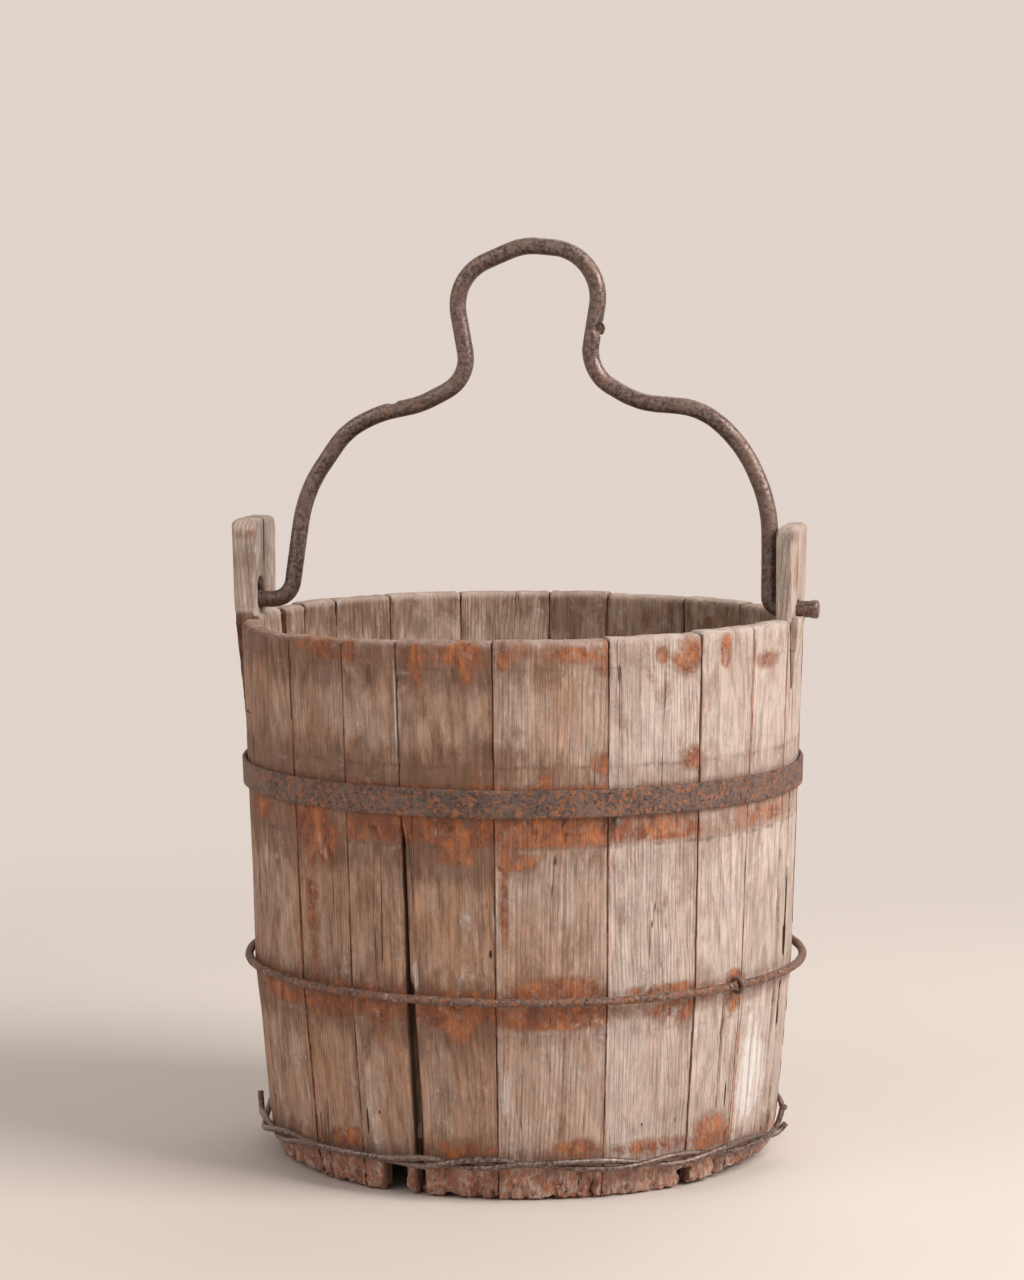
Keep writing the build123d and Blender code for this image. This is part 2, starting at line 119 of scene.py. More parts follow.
# Stains seen on the staves, and painted highlights on lit stave edges: kind, angle,
# height in millimetres, half its width in degrees, half its height in millimetres, and strength
STAINS_AND_HIGHLIGHTS = (
    ("rust", -29.5, 284, 3.6, 6, 0.9),
    ("rust", -35.0, 287, 3.2, 4, 0.6),
    ("rust", -22.8, 285, 1.6, 5, 0.9),
    ("rust", -8.4, 275, 1.4, 13, 0.8),
    ("rust", 1.6, 285, 3.6, 6, 0.8),
    ("rust", 1.8, 276, 1.0, 10, 1.0),
    ("rust", 9.0, 283, 0.9, 7, 0.9),
    ("rust", 23.5, 285, 3.0, 3.5, 0.8),
    ("rust", 28.4, 281, 1.1, 9, 0.8),
    ("rust", 41.0, 284, 1.3, 4, 0.8),
    ("rust", 46.8, 281, 3.0, 9, 0.9),
    ("rust", 56.5, 283, 1.3, 8, 1.0),
    ("rust", 71.0, 275, 4.4, 4.5, 0.7),
    ("smudge", -55.0, 283, 5.0, 6, 0.8),
    ("smudge", -70.0, 281, 7.0, 6, 0.8),
    ("smudge", -32.0, 250, 2.2, 14, 0.6),
    ("smudge", -30.0, 272, 5.0, 7, 0.6),
    ("smudge", -5.0, 270, 4.5, 10, 0.5),
    ("smudge", 12.0, 278, 3.0, 6, 0.5),
    ("smudge", -27.0, 226, 11.0, 5, 0.7),
    ("smudge", -50.0, 225, 8.0, 6, 0.6),
    ("rust", 1.5, 224, 5.0, 6, 0.45),
    ("rust", 28.6, 229, 2.6, 6, 0.8),
    ("rust", 17.0, 222, 1.4, 4, 0.7),
    ("rust", 48.8, 229, 3.4, 7, 0.85),
    ("rust", -54.0, 194, 5.5, 5, 0.6),
    ("rust", -35.5, 187, 4.6, 12, 1.0),
    ("rust", -30.5, 181, 2.6, 12, 0.9),
    ("rust", -36.4, 150, 2.2, 38, 0.85),
    ("rust", -19.0, 194, 5.0, 5, 0.95),
    ("rust", -1.0, 193, 7.4, 6, 0.9),
    ("rust", -1.2, 181, 6.4, 5, 0.9),
    ("smudge", -2.0, 176, 5.0, 7, 0.8),
    ("rust", 16.5, 194, 9.5, 6, 1.0),
    ("rust", 11.5, 180, 4.2, 6, 1.0),
    ("rust", 8.9, 155, 1.0, 28, 0.75),
    ("smudge", 14.0, 173, 3.6, 9, 0.75),
    ("smudge", 18.0, 189, 10.0, 1.8, 1.0),
    ("rust", 40.0, 194, 10.0, 5, 0.6),
    ("rust", 66.0, 194, 13.0, 4, 0.55),
    ("smudge", -56.0, 168, 1.2, 24, 0.5),
    ("rust", 19.5, 114, 8.6, 6, 0.9),
    ("rust", 45.0, 109, 9.0, 3, 0.8),
    ("rust", 62.2, 110, 2.2, 4, 1.0),
    ("rust", -32.5, 96, 7.2, 7, 1.0),
    ("rust", -50.5, 97, 9.0, 5, 0.8),
    ("rust", -19.0, 92, 2.4, 12, 0.75),
    ("rust", -1.5, 96, 6.6, 6, 1.0),
    ("rust", -0.8, 87, 2.6, 5, 0.9),
    ("rust", 17.5, 96, 9.6, 5, 1.0),
    ("smudge", 18.5, 86, 8.0, 5, 0.5),
    ("rust", 45.5, 95, 5.0, 6, 0.9),
    ("rust", 62.5, 95, 1.6, 5, 1.0),
    ("rust", -31.0, 27, 5.0, 4, 0.7),
    ("rust", -26.8, 28, 2.4, 4.5, 1.0),
    ("rust", -1.0, 28, 7.0, 5, 0.9),
    ("rust", 24.0, 28, 4.5, 5, 0.95),
    ("rust", 41.0, 27, 7.5, 4, 0.7),
    ("rust", 58.5, 30, 6.6, 9, 0.85),
    ("bloom", 73.0, 48, 6.0, 20, 0.85),
    ("bloom", 71.0, 70, 4.0, 18, 0.6),
    ("bloom", 8.8, 58, 1.0, 14, 0.8),
    ("bloom", -21.5, 38, 1.6, 14, 0.6),
    ("bloom", -10.4, 118, 0.5, 14, 0.7),
    ("rust", -40.6, 130, 0.55, 75, 0.9),
    ("rust", -42.0, 55, 0.45, 30, 0.9),
    ("rust", 65.6, 255, 0.35, 34, 0.9),
    ("rust", 66.0, 60, 0.45, 42, 0.9),
    ("rust", 29.6, 150, 0.30, 48, 0.8),
    ("rust", 80.2, 240, 0.30, 50, 0.8),
    ("crack", 59.4, 68, 0.16, 30, 0.9),
    ("crack", 62.6, 46, 0.35, 7, 0.9),
    ("crack", -23.4, 37, 0.25, 8, 0.9),
    ("crack", -36.5, 12, 0.30, 9, 1.0),
    ("crack", 6.0, 131, 0.35, 2.5, 0.9),
    ("crack", -20.3, 43, 0.20, 1.2, 0.9),
    ("crack", 38.3, 38, 0.22, 1.0, 0.9),
    ("crack", 46.8, 38, 0.18, 1.0, 0.9),
    ("crack", -55.8, 150, 0.15, 26, 0.6),
    ("crack", -67.0, 242, 5.0, 0.7, 0.7),
    ("crack", 271.0, 333, 0.40, 16, 1.2),
    ("crack", 277.0, 316, 0.25, 10, 0.8),
    ("smudge", 278.5, 322, 1.6, 12, 0.7),
    ("rust", 278.5, 335, 1.6, 3, 0.6),
    ("crack", 86.6, 155, 0.60, 44, 1.4),
    ("crack", 85.2, 60, 0.55, 42, 1.4),
    ("rust", 84.5, 322, 0.8, 12, 0.9),
    ("smudge", 83.0, 338, 3.0, 5, 0.7),
    # Painted highlights: thin pale lines just left of joints, on stave edges that face the light
    ("bloom", -12.75, 252, 0.28, 36, 1.0),
    ("bloom", 6.85, 95, 0.16, 78, 0.9),
    ("bloom", -25.2, 262, 0.18, 26, 0.7),
)

# Splits and open edges: stave, their run as angle and height in millimetres, and
# half their width and their depth in millimetres
SPLITS = (
    ("stave_04", ((-12.5, 0), (-12.5, 165)), 2.0, 2.0),
    ("stave_05", ((-12.5, 0), (-12.5, 120)), 4.6, 6.5),
    ("stave_05", ((-12.5, 110), (-12.5, 198)), 2.4, 4.0),
    ("stave_09", ((80.5, 20), (80.5, 190)), 1.6, 2.0),
    ("ear_stave_right", ((80.5, 20), (80.5, 190)), 2.0, 4.0),
    ("ear_stave_right", ((87.5, 196), (86.5, 150), (85.8, 112)), 2.0, 5.0),
    ("ear_stave_right", ((84.8, 98), (85.6, 18)), 1.9, 5.0),
    ("stave_08", ((59.4, 98), (59.5, 40)), 0.9, 2.5),
    ("stave_03", ((-36.5, 0), (-36.8, 14)), 1.2, 5.0),
    ("stave_06", ((27.6, 0), (27.8, 15)), 1.4, 6.0),
    ("stave_06", ((13.0, 0), (13.4, 9)), 1.1, 4.0),
    ("stave_08", ((61.0, 0), (61.3, 16)), 1.2, 5.0),
    ("stave_05", ((0.6, 0), (0.2, 9)), 1.3, 4.0),
    ("stave_02", ((-52.0, 0), (-52.4, 16)), 1.2, 4.0),
)

# Joints that have opened: staves left and right of it, its angle, and how wide each
# stave's edge has drawn back, as height and width in millimetres
OPEN_JOINTS = (
    ("stave_04", "stave_05", -12.5, ((0, 1.3), (60, 1.2), (110, 0.8), (160, 0.4), (200, 0.0))),
    ("stave_09", "ear_stave_right", 80.5, (
        (0, 1.0), (30, 1.6), (88, 1.8), (102, 0.5), (113, 1.5), (150, 1.6), (185, 0.4), (198, 0.0),
    )),
)

# How far the joints lean round the bucket from the rim down to the foot, in degrees
JOINT_LEANS = (
    (-80.5, 0.0), (-60.5, 1.2), (-40.5, 2.2), (-25.0, 0.9), (-12.5, 1.7), (7.0, 0.5),
    (29.5, 0.5), (50.0, 0.3), (65.0, -1.3), (80.5, -0.7), (98.5, 0.0),
)

# How the two low wires wind in front: angles, and half turns round each other by there
WIRE_TURNS = (
    (-100, 0), (-80, 1), (-60, 2), (-42, 3), (-15, 3.15), (-8.5, 3.5), (-4, 4), (3.5, 4.5),
    (11, 5), (18, 5.15), (29, 5.5), (38, 6), (46, 6.5), (54.7, 7), (66, 7.5), (78, 8), (95, 9),
)


# Small helpers for selecting pieces and for building node trees
def deselect_all():
    """Leave nothing selected."""
    if bpy.context.object and bpy.context.object.mode != "OBJECT":
        bpy.ops.object.mode_set(mode="OBJECT")
    bpy.ops.object.select_all(action="DESELECT")


def take(piece):
    """Make the piece the only one selected, and active."""
    deselect_all()
    piece.select_set(True)
    bpy.context.view_layer.objects.active = piece


def add_modifier(piece, kind, name, **settings):
    """Add a modifier with its settings, and apply it."""
    take(piece)
    modifier = piece.modifiers.new(name, kind)
    for key, value in settings.items():
        setattr(modifier, key, value)
    bpy.ops.object.modifier_apply(modifier=modifier.name)


def put(tree, socket, value):
    """Set a socket to a value, or link it from another socket."""
    if isinstance(value, bpy.types.NodeSocket):
        tree.links.new(value, socket)
    elif value is not None:
        socket.default_value = value


def node(tree, kind, inputs=None, **settings):
    """Add a node with its settings and its inputs, by name or number."""
    new = tree.nodes.new(kind)
    for key, value in settings.items():
        setattr(new, key, value)
    for key, value in (inputs or {}).items():
        put(tree, new.inputs[key], value)
    return new


def math(tree, operation, first, second=None, third=None, clamp=False):
    """One sum of two or three values."""
    new = node(tree, "ShaderNodeMath", operation=operation, use_clamp=clamp)
    for place, value in enumerate((first, second, third)):
        put(tree, new.inputs[place], value)
    return new.outputs[0]


def product(tree, first, *others):
    """Several values multiplied together."""
    for other in others:
        first = math(tree, "MULTIPLY", first, other)
    return first


def most(tree, first, *others):
    """The largest of several values."""
    for other in others:
        first = math(tree, "MAXIMUM", first, other)
    return first


def ramp(tree, value, low, high, to_low=0.0, to_high=1.0):
    """Smooth step of a value from low to high."""
    new = node(tree, "ShaderNodeMapRange", interpolation_type="SMOOTHSTEP")
    for place, item in enumerate((value, low, high, to_low, to_high)):
        put(tree, new.inputs[place], item)
    return new.outputs[0]


def mix(tree, share, first, second, blend="MIX"):
    """Blend of two colours by a share."""
    new = node(tree, "ShaderNodeMix", data_type="RGBA", blend_type=blend, clamp_factor=True)
    put(tree, new.inputs["Factor"], share)
    put(tree, new.inputs[6], first)
    put(tree, new.inputs[7], second)
    return new.outputs[2]


def grain_noise(tree, place, repeats, detail=4.0, roughness=0.6, distortion=0.0):
    """Noise that repeats this many times a metre along each direction."""
    spread = node(tree, "ShaderNodeVectorMath", {0: place, 1: repeats}, operation="MULTIPLY")
    inputs = {"Vector": spread.outputs[0], "Scale": 1.0, "Detail": detail}
    inputs.update({"Roughness": roughness, "Distortion": distortion})
    return node(tree, "ShaderNodeTexNoise", inputs).outputs["Fac"]


def new_group(name, inputs, outputs):
    """Shader group with named sockets, and its two ends."""
    tree = bpy.data.node_groups.new(name, "ShaderNodeTree")
    for title, kind in inputs:
        tree.interface.new_socket(title, in_out="INPUT", socket_type=f"NodeSocket{kind}")
    for title, kind in outputs:
        tree.interface.new_socket(title, in_out="OUTPUT", socket_type=f"NodeSocket{kind}")
    return tree, tree.nodes.new("NodeGroupInput"), tree.nodes.new("NodeGroupOutput")


def floats(*titles):
    """Names of number sockets, with their kind."""
    return [(title, "Float") for title in titles]


def use_group(tree, group, inputs):
    """Place a shader group in a tree, and give its outputs."""
    new = node(tree, "ShaderNodeGroup", node_tree=group)
    for title, value in inputs.items():
        put(tree, new.inputs[title], value)
    return new.outputs


# Colours of wood, stains, painted shade and highlights, and iron, as linear red, green and blue
PALE_WOOD = (0.600, 0.490, 0.425, 1.0)
TAN_WOOD = (0.470, 0.268, 0.168, 1.0)
GRIMY_WOOD = (0.228, 0.122, 0.078, 1.0)
GREY_WOOD = (0.385, 0.262, 0.196, 1.0)
DARK_WOOD = (0.120, 0.072, 0.048, 1.0)
INNER_WOOD = (0.580, 0.430, 0.325, 1.0)
# Painted shade for faces set back in open joints and splits
PAINTED_HOLLOW_SHADE = (0.085, 0.045, 0.028, 1.0)
JOINT_DARK = (0.055, 0.030, 0.019, 1.0)
ORANGE_RUST = (0.520, 0.178, 0.066, 1.0)
RED_RUST = (0.240, 0.086, 0.050, 1.0)
# Pale colour of the white deposit, also used for painted highlights on lit stave edges
WHITE_BLOOM_AND_HIGHLIGHT = (0.780, 0.735, 0.705, 1.0)
ROTTEN_WOOD = (0.520, 0.205, 0.115, 1.0)
IRON_DARK = (0.085, 0.052, 0.043, 1.0)
IRON_BROWN = (0.165, 0.098, 0.075, 1.0)
IRON_GREY = (0.275, 0.215, 0.198, 1.0)
IRON_RUST = (0.330, 0.130, 0.060, 1.0)
IRON_SCALE = (0.430, 0.290, 0.220, 1.0)


def make_round_place_group():
    """Turns a point into its place round the bucket and its depth in the wall."""
    outputs = [("Place", "Vector")] + floats("Angle", "Radius", "Height", "Depth", "Outside")
    tree, start, end = new_group("round_place", [("Vector", "Vector")], outputs)
    split = node(tree, "ShaderNodeSeparateXYZ", {0: start.outputs[0]})
    across, along, height = split.outputs
    square = math(tree, "ADD", product(tree, across, across), product(tree, along, along))
    radius = math(tree, "SQRT", square)
    angle = math(tree, "ARCTAN2", across, product(tree, along, -1.0))
    upper_slope = (RIM_RADIUS - WAIST_RADIUS) / (RIM_HEIGHT - WAIST_HEIGHT)
    lower_slope = (WAIST_RADIUS - FOOT_RADIUS) / WAIST_HEIGHT
    upper_start = WAIST_RADIUS - upper_slope * WAIST_HEIGHT
    upper = math(tree, "MULTIPLY_ADD", height, upper_slope, upper_start)
    lower = math(tree, "MULTIPLY_ADD", height, lower_slope, FOOT_RADIUS)
    depth = math(tree, "SUBTRACT", math(tree, "MINIMUM", upper, lower), radius)
    arc = product(tree, angle, RIM_RADIUS)
    joined = node(tree, "ShaderNodeCombineXYZ", {0: arc, 1: depth, 2: height})
    put(tree, end.inputs["Place"], joined.outputs[0])
    put(tree, end.inputs["Angle"], angle)
    put(tree, end.inputs["Radius"], radius)
    put(tree, end.inputs["Height"], height)
    put(tree, end.inputs["Depth"], depth)
    outside = ramp(tree, depth, STAVE_THICKNESS * 0.80, STAVE_THICKNESS * 0.60)
    put(tree, end.inputs["Outside"], outside)
    return tree


def make_grain_group():
    """Patterns of bare weathered wood whose fibres run along Z."""
    inputs = [("Place", "Vector")] + floats("Seed", "Heart Side", "Heart Depth")
    tree, start, end = new_group("wood_grain", inputs, floats("Fibre", "Rings", "Patch", "Split"))
    seed = start.outputs["Seed"]
    shift = node(tree, "ShaderNodeCombineXYZ", {0: seed, 1: seed, 2: seed})
    moved = node(
        tree,
        "ShaderNodeVectorMath",
        {0: start.outputs["Place"], 1: shift.outputs[0]},
        operation="ADD",
    )
    place = moved.outputs[0]
    put(tree, end.inputs["Fibre"], grain_noise(tree, place, (1300, 900, 9), 5.0, 0.58))
    put(tree, end.inputs["Patch"], grain_noise(tree, place, (42, 42, 17), 5.0, 0.62, 0.3))

    # Year rings: how far a point is from the heart of a tree that tapers
    ring_width = 0.0021
    taper = 0.055
    split_place = node(tree, "ShaderNodeSeparateXYZ", {0: start.outputs["Place"]}).outputs
    sway = grain_noise(tree, place, (22, 22, 9), 3.0, 0.5)
    sway_across = math(tree, "MULTIPLY_ADD", sway, 0.012, split_place[0])
    ring_side = math(tree, "SUBTRACT", sway_across, start.outputs["Heart Side"])
    ring_depth = math(tree, "MULTIPLY_ADD", split_place[2], taper, start.outputs["Heart Depth"])
    ring_depth = math(tree, "ADD", ring_depth, split_place[1])
    squares = math(
        tree, "ADD", product(tree, ring_side, ring_side), product(tree, ring_depth, ring_depth)
    )
    rings = product(tree, math(tree, "SQRT", squares), 2 * pi / ring_width)
    rings = ramp(tree, math(tree, "SINE", rings), -0.2, 1.0)
    shown = ramp(tree, grain_noise(tree, place, (50, 50, 12), 3.0, 0.6), 0.35, 0.60, 0.25, 1.0)
    put(tree, end.inputs["Rings"], product(tree, rings, shown))

    # Splits along the fibres
    split_noise = grain_noise(tree, place, (105, 80, 3.6), 3.0, 0.5, 0.15)
    split_near = math(tree, "ABSOLUTE", math(tree, "SUBTRACT", split_noise, 0.5))
    split_where = ramp(tree, grain_noise(tree, place, (70, 60, 11), 2.0, 0.5), 0.57, 0.66)
    split = product(tree, ramp(tree, split_near, 0.007, 0.002), split_where)
    put(tree, end.inputs["Split"], split)
    return tree


def make_stain_group():
    """Amount of one soft stain or painted highlight, which fades from its middle outwards."""
    places = floats("Angle", "Height", "At Angle", "At Height")
    inputs = places + floats("Half Angle", "Half Height", "Strength")
    tree, start, end = new_group("stain", inputs, floats("Amount"))
    given = start.outputs
    across = math(tree, "SUBTRACT", given["Angle"], given["At Angle"])
    across = math(tree, "DIVIDE", across, given["Half Angle"])
    upward = math(tree, "SUBTRACT", given["Height"], given["At Height"])
    upward = math(tree, "DIVIDE", upward, given["Half Height"])
    away = math(tree, "ADD", product(tree, across, across), product(tree, upward, upward))
    amount = product(tree, ramp(tree, math(tree, "SQRT", away), 1.7, 0.3), given["Strength"])
    put(tree, end.inputs["Amount"], amount)
    return tree


def make_rust_reach_group():
    """Amount of rust that a hoop leaves on the wood above and below it."""
    inputs = floats("Height", "Low", "High", "Down", "Up", "Strength")
    tree, start, end = new_group("rust_reach", inputs, floats("Amount"))
    height, low, high, down, up, strength = start.outputs[:6]
    under = math(tree, "DIVIDE", math(tree, "SUBTRACT", low, height), down)
    over = math(tree, "DIVIDE", math(tree, "SUBTRACT", height, high), up)
    amount = ramp(tree, most(tree, under, over), 1.8, 0.2)
    put(tree, end.inputs["Amount"], product(tree, amount, strength))
    return tree


def make_weathered_wood_group(round_place, grain, rust_reach):
    """Colour, roughness and relief of a stave, from its grain, stains and place, with painted shade on
    faces set back from the wall.
    """
    inputs = [("Vector", "Vector")] + floats(
        "Half Arc", "Seed", "Heart Side", "Heart Depth", "Pale", "Grime", "Band Rust", "Wire Rust",
        "Foot Rust", "Rust Stain", "Smudge Stain", "Bloom Stain", "Crack Stain",
    )
    outputs = [("Color", "Color")] + floats("Roughness", "Relief")
    tree, start, end = new_group("weathered_wood", inputs, outputs)
    look = start.outputs
    spot = use_group(tree, round_place, {"Vector": look["Vector"]})
    grain_inputs = {"Place": spot["Place"], "Seed": look["Seed"]}
    grain_inputs.update({"Heart Side": look["Heart Side"], "Heart Depth": look["Heart Depth"]})
    wood = use_group(tree, grain, grain_inputs)
    height = spot["Height"]
    outside = most(tree, spot["Outside"], ramp(tree, height, 0.2895, 0.2935))
    shift = node(tree, "ShaderNodeCombineXYZ", {0: look["Seed"], 2: look["Seed"]})
    moved = node(
        tree, "ShaderNodeVectorMath", {0: spot["Place"], 1: shift.outputs[0]}, operation="ADD"
    )
    place = moved.outputs[0]
    ragged = grain_noise(tree, place, (85, 85, 40), 6.0, 0.66, 0.5)
    feathered = grain_noise(tree, place, (58, 58, 27), 8.0, 0.74, 0.35)

    # Bare wood, greyer in patches, with dark fibres between pale ones
    pale = ramp(tree, math(tree, "MULTIPLY_ADD", look["Pale"], 0.62, wood["Patch"]), 0.40, 1.05)
    bare = mix(tree, pale, TAN_WOOD, PALE_WOOD)
    grey = ramp(tree, grain_noise(tree, place, (26, 26, 9), 5.0, 0.62), 0.44, 0.64)
    bare = mix(tree, product(tree, grey, 0.38), bare, GREY_WOOD)
    inner = mix(tree, ramp(tree, wood["Patch"], 0.35, 0.70), INNER_WOOD, GREY_WOOD)
    bare = mix(tree, outside, inner, bare)
    nearest = None
    for dirty_height in DIRTY_HEIGHTS:
        away = math(tree, "ABSOLUTE", math(tree, "SUBTRACT", height, dirty_height))
        nearest = math(tree, "MINIMUM", nearest, away) if nearest else away
    dirty = ramp(tree, nearest, 0.006, 0.028, 1.0, 0.35)
    grime = grain_noise(tree, place, (72, 72, 30), 9.0, 0.76, 0.4)
    grime = math(tree, "MULTIPLY_ADD", look["Grime"], product(tree, dirty, 0.40), grime)
    grime = ramp(tree, grime, 0.52, 0.78)
    bare = mix(tree, product(tree, grime, 0.90), bare, GRIMY_WOOD)
    fibre_dark = ramp(tree, wood["Fibre"], 0.50, 0.40)
    bare = mix(tree, product(tree, fibre_dark, 0.30), bare, DARK_WOOD)
    scuffs = ramp(tree, grain_noise(tree, place, (620, 620, 26), 6.0, 0.72), 0.54, 0.68)
    bare = mix(tree, product(tree, scuffs, 0.26), bare, PALE_WOOD)
    pores = ramp(tree, grain_noise(tree, place, (2300, 1500, 110), 3.0, 0.6), 0.40, 0.28)
    bare = mix(tree, product(tree, pores, 0.35), bare, DARK_WOOD)
    bare = mix(tree, product(tree, wood["Rings"], 0.34), bare, TAN_WOOD, "MULTIPLY")
    scratches = ramp(tree, grain_noise(tree, place, (140, 140, 1500), 4.0, 0.6), 0.60, 0.70)
    bare = mix(tree, product(tree, scratches, 0.22), bare, DARK_WOOD)
    grit = ramp(tree, grain_noise(tree, place, (190, 190, 48), 9.0, 0.80), 0.36, 0.64, 0.79, 1.18)
    grit = node(tree, "ShaderNodeCombineColor", {0: grit, 1: grit, 2: grit}).outputs[0]
    bare = mix(tree, 1.0, bare, grit, "MULTIPLY")
    smudge = ramp(tree, grain_noise(tree, place, (38, 38, 16), 7.0, 0.74, 0.6), 0.55, 0.75)
    stained = math(tree, "ADD", feathered, math(tree, "ADD", look["Smudge Stain"], -0.5))
    stained = ramp(tree, stained, 0.28, 0.85)
    smudge = most(tree, product(tree, smudge, 0.40), product(tree, stained, 0.72))
    bare = mix(tree, smudge, bare, mix(tree, wood["Patch"], DARK_WOOD, GREY_WOOD))

    # Old marks of hoops: thin dark lines and dirt where iron used to lie
    wavy = math(tree, "MULTIPLY_ADD", feathered, 0.006, math(tree, "ADD", height, -0.003))
    breaks = ramp(tree, grain_noise(tree, place, (60, 60, 10), 6.0, 0.75), 0.44, 0.60)
    line = None
    for line_height, strength in OLD_HOOP_LINES:
        away = math(tree, "ABSOLUTE", math(tree, "SUBTRACT", wavy, line_height))
        mark = product(tree, ramp(tree, away, 0.0016, 0.0001), breaks, strength)
        line = most(tree, line, mark) if line else mark
    above = product(tree, ramp(tree, height, 0.2160, 0.2166), ramp(tree, wavy, 0.2320, 0.2255))
    dirt = product(tree, above, ramp(tree, feathered, 0.40, 0.58, 0.30, 1.0))
    below = product(tree, ramp(tree, wavy, 0.1850, 0.1880), ramp(tree, height, 0.2016, 0.2010))
    dirt = most(tree, dirt, product(tree, below, ramp(tree, feathered, 0.42, 0.60, 0.10, 0.8)))
    dirt = product(tree, dirt, outside, math(tree, "MULTIPLY_ADD", look["Grime"], 0.5, 0.35))
    color = mix(tree, dirt, bare, GRIMY_WOOD)
    old_line = product(tree, line, outside)
    color = mix(tree, old_line, color, DARK_WOOD)
    top = product(tree, ramp(tree, height, 0.2870, 0.2912), ramp(tree, height, 0.2960, 0.2930))
    color = mix(tree, product(tree, top, 0.45), color, PALE_WOOD)

    # Rust round the iron, in patches with feathered edges
    def reach(low, high, down, up, strength):
        """Rust left by one hoop."""
        given = {"Height": height, "Low": low, "High": high, "Down": down, "Up": up}
        return use_group(tree, rust_reach, {**given, "Strength": strength})["Amount"]

    amount = most(
        tree,
        reach(BAND_BOTTOM - 0.0100, BAND_TOP - 0.0020, 0.0050, 0.0040, look["Band Rust"]),
        reach(MID_WIRE_HEIGHT - 0.0070, MID_WIRE_HEIGHT, 0.0050, 0.0050, look["Wire Rust"]),
        reach(LOW_WIRE_HEIGHT - 0.0030, LOW_WIRE_HEIGHT + 0.0020, 0.0050, 0.0050, look["Foot Rust"]),
        reach(0.2840, 0.2900, 0.0070, 0.0040, product(tree, look["Band Rust"], 0.48)),
    )
    amount = math(tree, "ADD", product(tree, amount, 1.05), look["Rust Stain"])
    blotches = grain_noise(tree, place, (52, 52, 60), 9.0, 0.78, 0.4)
    torn = math(tree, "MULTIPLY_ADD", blotches, 5.2, -1.75)
    spread = product(tree, amount, torn)
    halo = product(tree, ramp(tree, spread, 0.10, 0.45), outside)
    color = mix(tree, product(tree, halo, 0.40), color, GRIMY_WOOD)
    hoop_rust = ramp(tree, spread, 0.26, 0.84)
    deep = grain_noise(tree, place, (105, 105, 62), 8.0, 0.76, 0.5)
    rust = mix(tree, ramp(tree, deep, 0.43, 0.62), RED_RUST, ORANGE_RUST)
    burnt = ramp(tree, grain_noise(tree, place, (150, 150, 95), 7.0, 0.74, 0.3), 0.52, 0.66)
    rust = mix(tree, product(tree, burnt, 0.70), rust, JOINT_DARK)
    rust = mix(tree, product(tree, fibre_dark, 0.18), rust, JOINT_DARK)
    worn = ramp(tree, grain_noise(tree, place, (260, 260, 150), 7.0, 0.80), 0.38, 0.54, 0.30, 1.0)
    color = mix(tree, product(tree, hoop_rust, outside, worn), color, rust)

    # Bloom and painted edge highlights, rot at the foot, painted shade on set-back faces, dark joints
    # and splits
    bloom_and_highlight_grain = grain_noise(tree, place, (380, 380, 16), 6.0, 0.70)
    bloom_and_highlight_grain = ramp(tree, bloom_and_highlight_grain, 0.38, 0.60, 0.10, 0.92)
    # Pale deposit patches, and thin painted highlights on lit stave edges
    bloom = math(tree, "MULTIPLY_ADD", blotches, 3.2, math(tree, "ADD", look["Bloom Stain"], -1.6))
    bloom = product(tree, ramp(tree, bloom, 0.15, 0.90), bloom_and_highlight_grain)
    color = mix(tree, bloom, color, WHITE_BLOOM_AND_HIGHLIGHT)
    rot = ramp(tree, math(tree, "MULTIPLY_ADD", ragged, -0.014, height), 0.014, 0.004)
    crumbs = grain_noise(tree, place, (520, 520, 260), 5.0, 0.70)
    rotten = mix(tree, ramp(tree, crumbs, 0.44, 0.58), ROTTEN_WOOD, PALE_WOOD)
    rotten = mix(tree, ramp(tree, ragged, 0.56, 0.42, 0.0, 0.6), rotten, RED_RUST)
    color = mix(tree, product(tree, rot, 0.85), color, rotten)
    # Painted shade: faces set more than 2 mm in from the wall, in open joints and splits, are
    # darkened, with more leeway at the torn foot
    torn_away = ramp(tree, height, 0.026, 0.018, 0.0, 0.0032)
    hollow_shade = math(tree, "SUBTRACT", spot["Depth"], torn_away)
    hollow_shade = ramp(tree, hollow_shade, 0.0020, 0.0052)
    hollow_shade = product(tree, hollow_shade, outside, ramp(tree, height, 0.2870, 0.2840))
    color = mix(tree, product(tree, hollow_shade, 0.88), color, PAINTED_HOLLOW_SHADE)
    from_edge = math(tree, "SUBTRACT", look["Half Arc"], math(tree, "ABSOLUTE", spot["Angle"]))
    from_edge = product(tree, from_edge, spot["Radius"])
    from_edge = math(tree, "MULTIPLY_ADD", ragged, -0.0016, from_edge)
    edge = product(tree, ramp(tree, from_edge, 0.0002, -0.0005), ramp(tree, height, 0.294, 0.291))
    edge_color = mix(tree, ramp(tree, deep, 0.42, 0.55), JOINT_DARK, RED_RUST)
    color = mix(tree, product(tree, edge, 0.75), color, edge_color)
    crack = math(tree, "MULTIPLY_ADD", feathered, 0.8, math(tree, "ADD", look["Crack Stain"], -0.4))
    crack = most(tree, product(tree, wood["Split"], 0.85), ramp(tree, crack, 0.45, 0.65))
    color = mix(tree, crack, color, JOINT_DARK)

    relief = math(tree, "MULTIPLY_ADD", wood["Fibre"], 0.75, product(tree, wood["Rings"], 0.18))
    relief = math(tree, "MULTIPLY_ADD", wood["Patch"], 0.35, relief)
    relief = math(tree, "MULTIPLY_ADD", crack, -1.3, relief)
    relief = math(tree, "MULTIPLY_ADD", old_line, -0.6, relief)
    relief = math(tree, "MULTIPLY_ADD", product(tree, rot, crumbs), 1.6, relief)
    put(tree, end.inputs["Color"], color)
    put(tree, end.inputs["Roughness"], ramp(tree, wood["Fibre"], 0.3, 0.7, 0.92, 0.74))
    put(tree, end.inputs["Relief"], relief)
    return tree


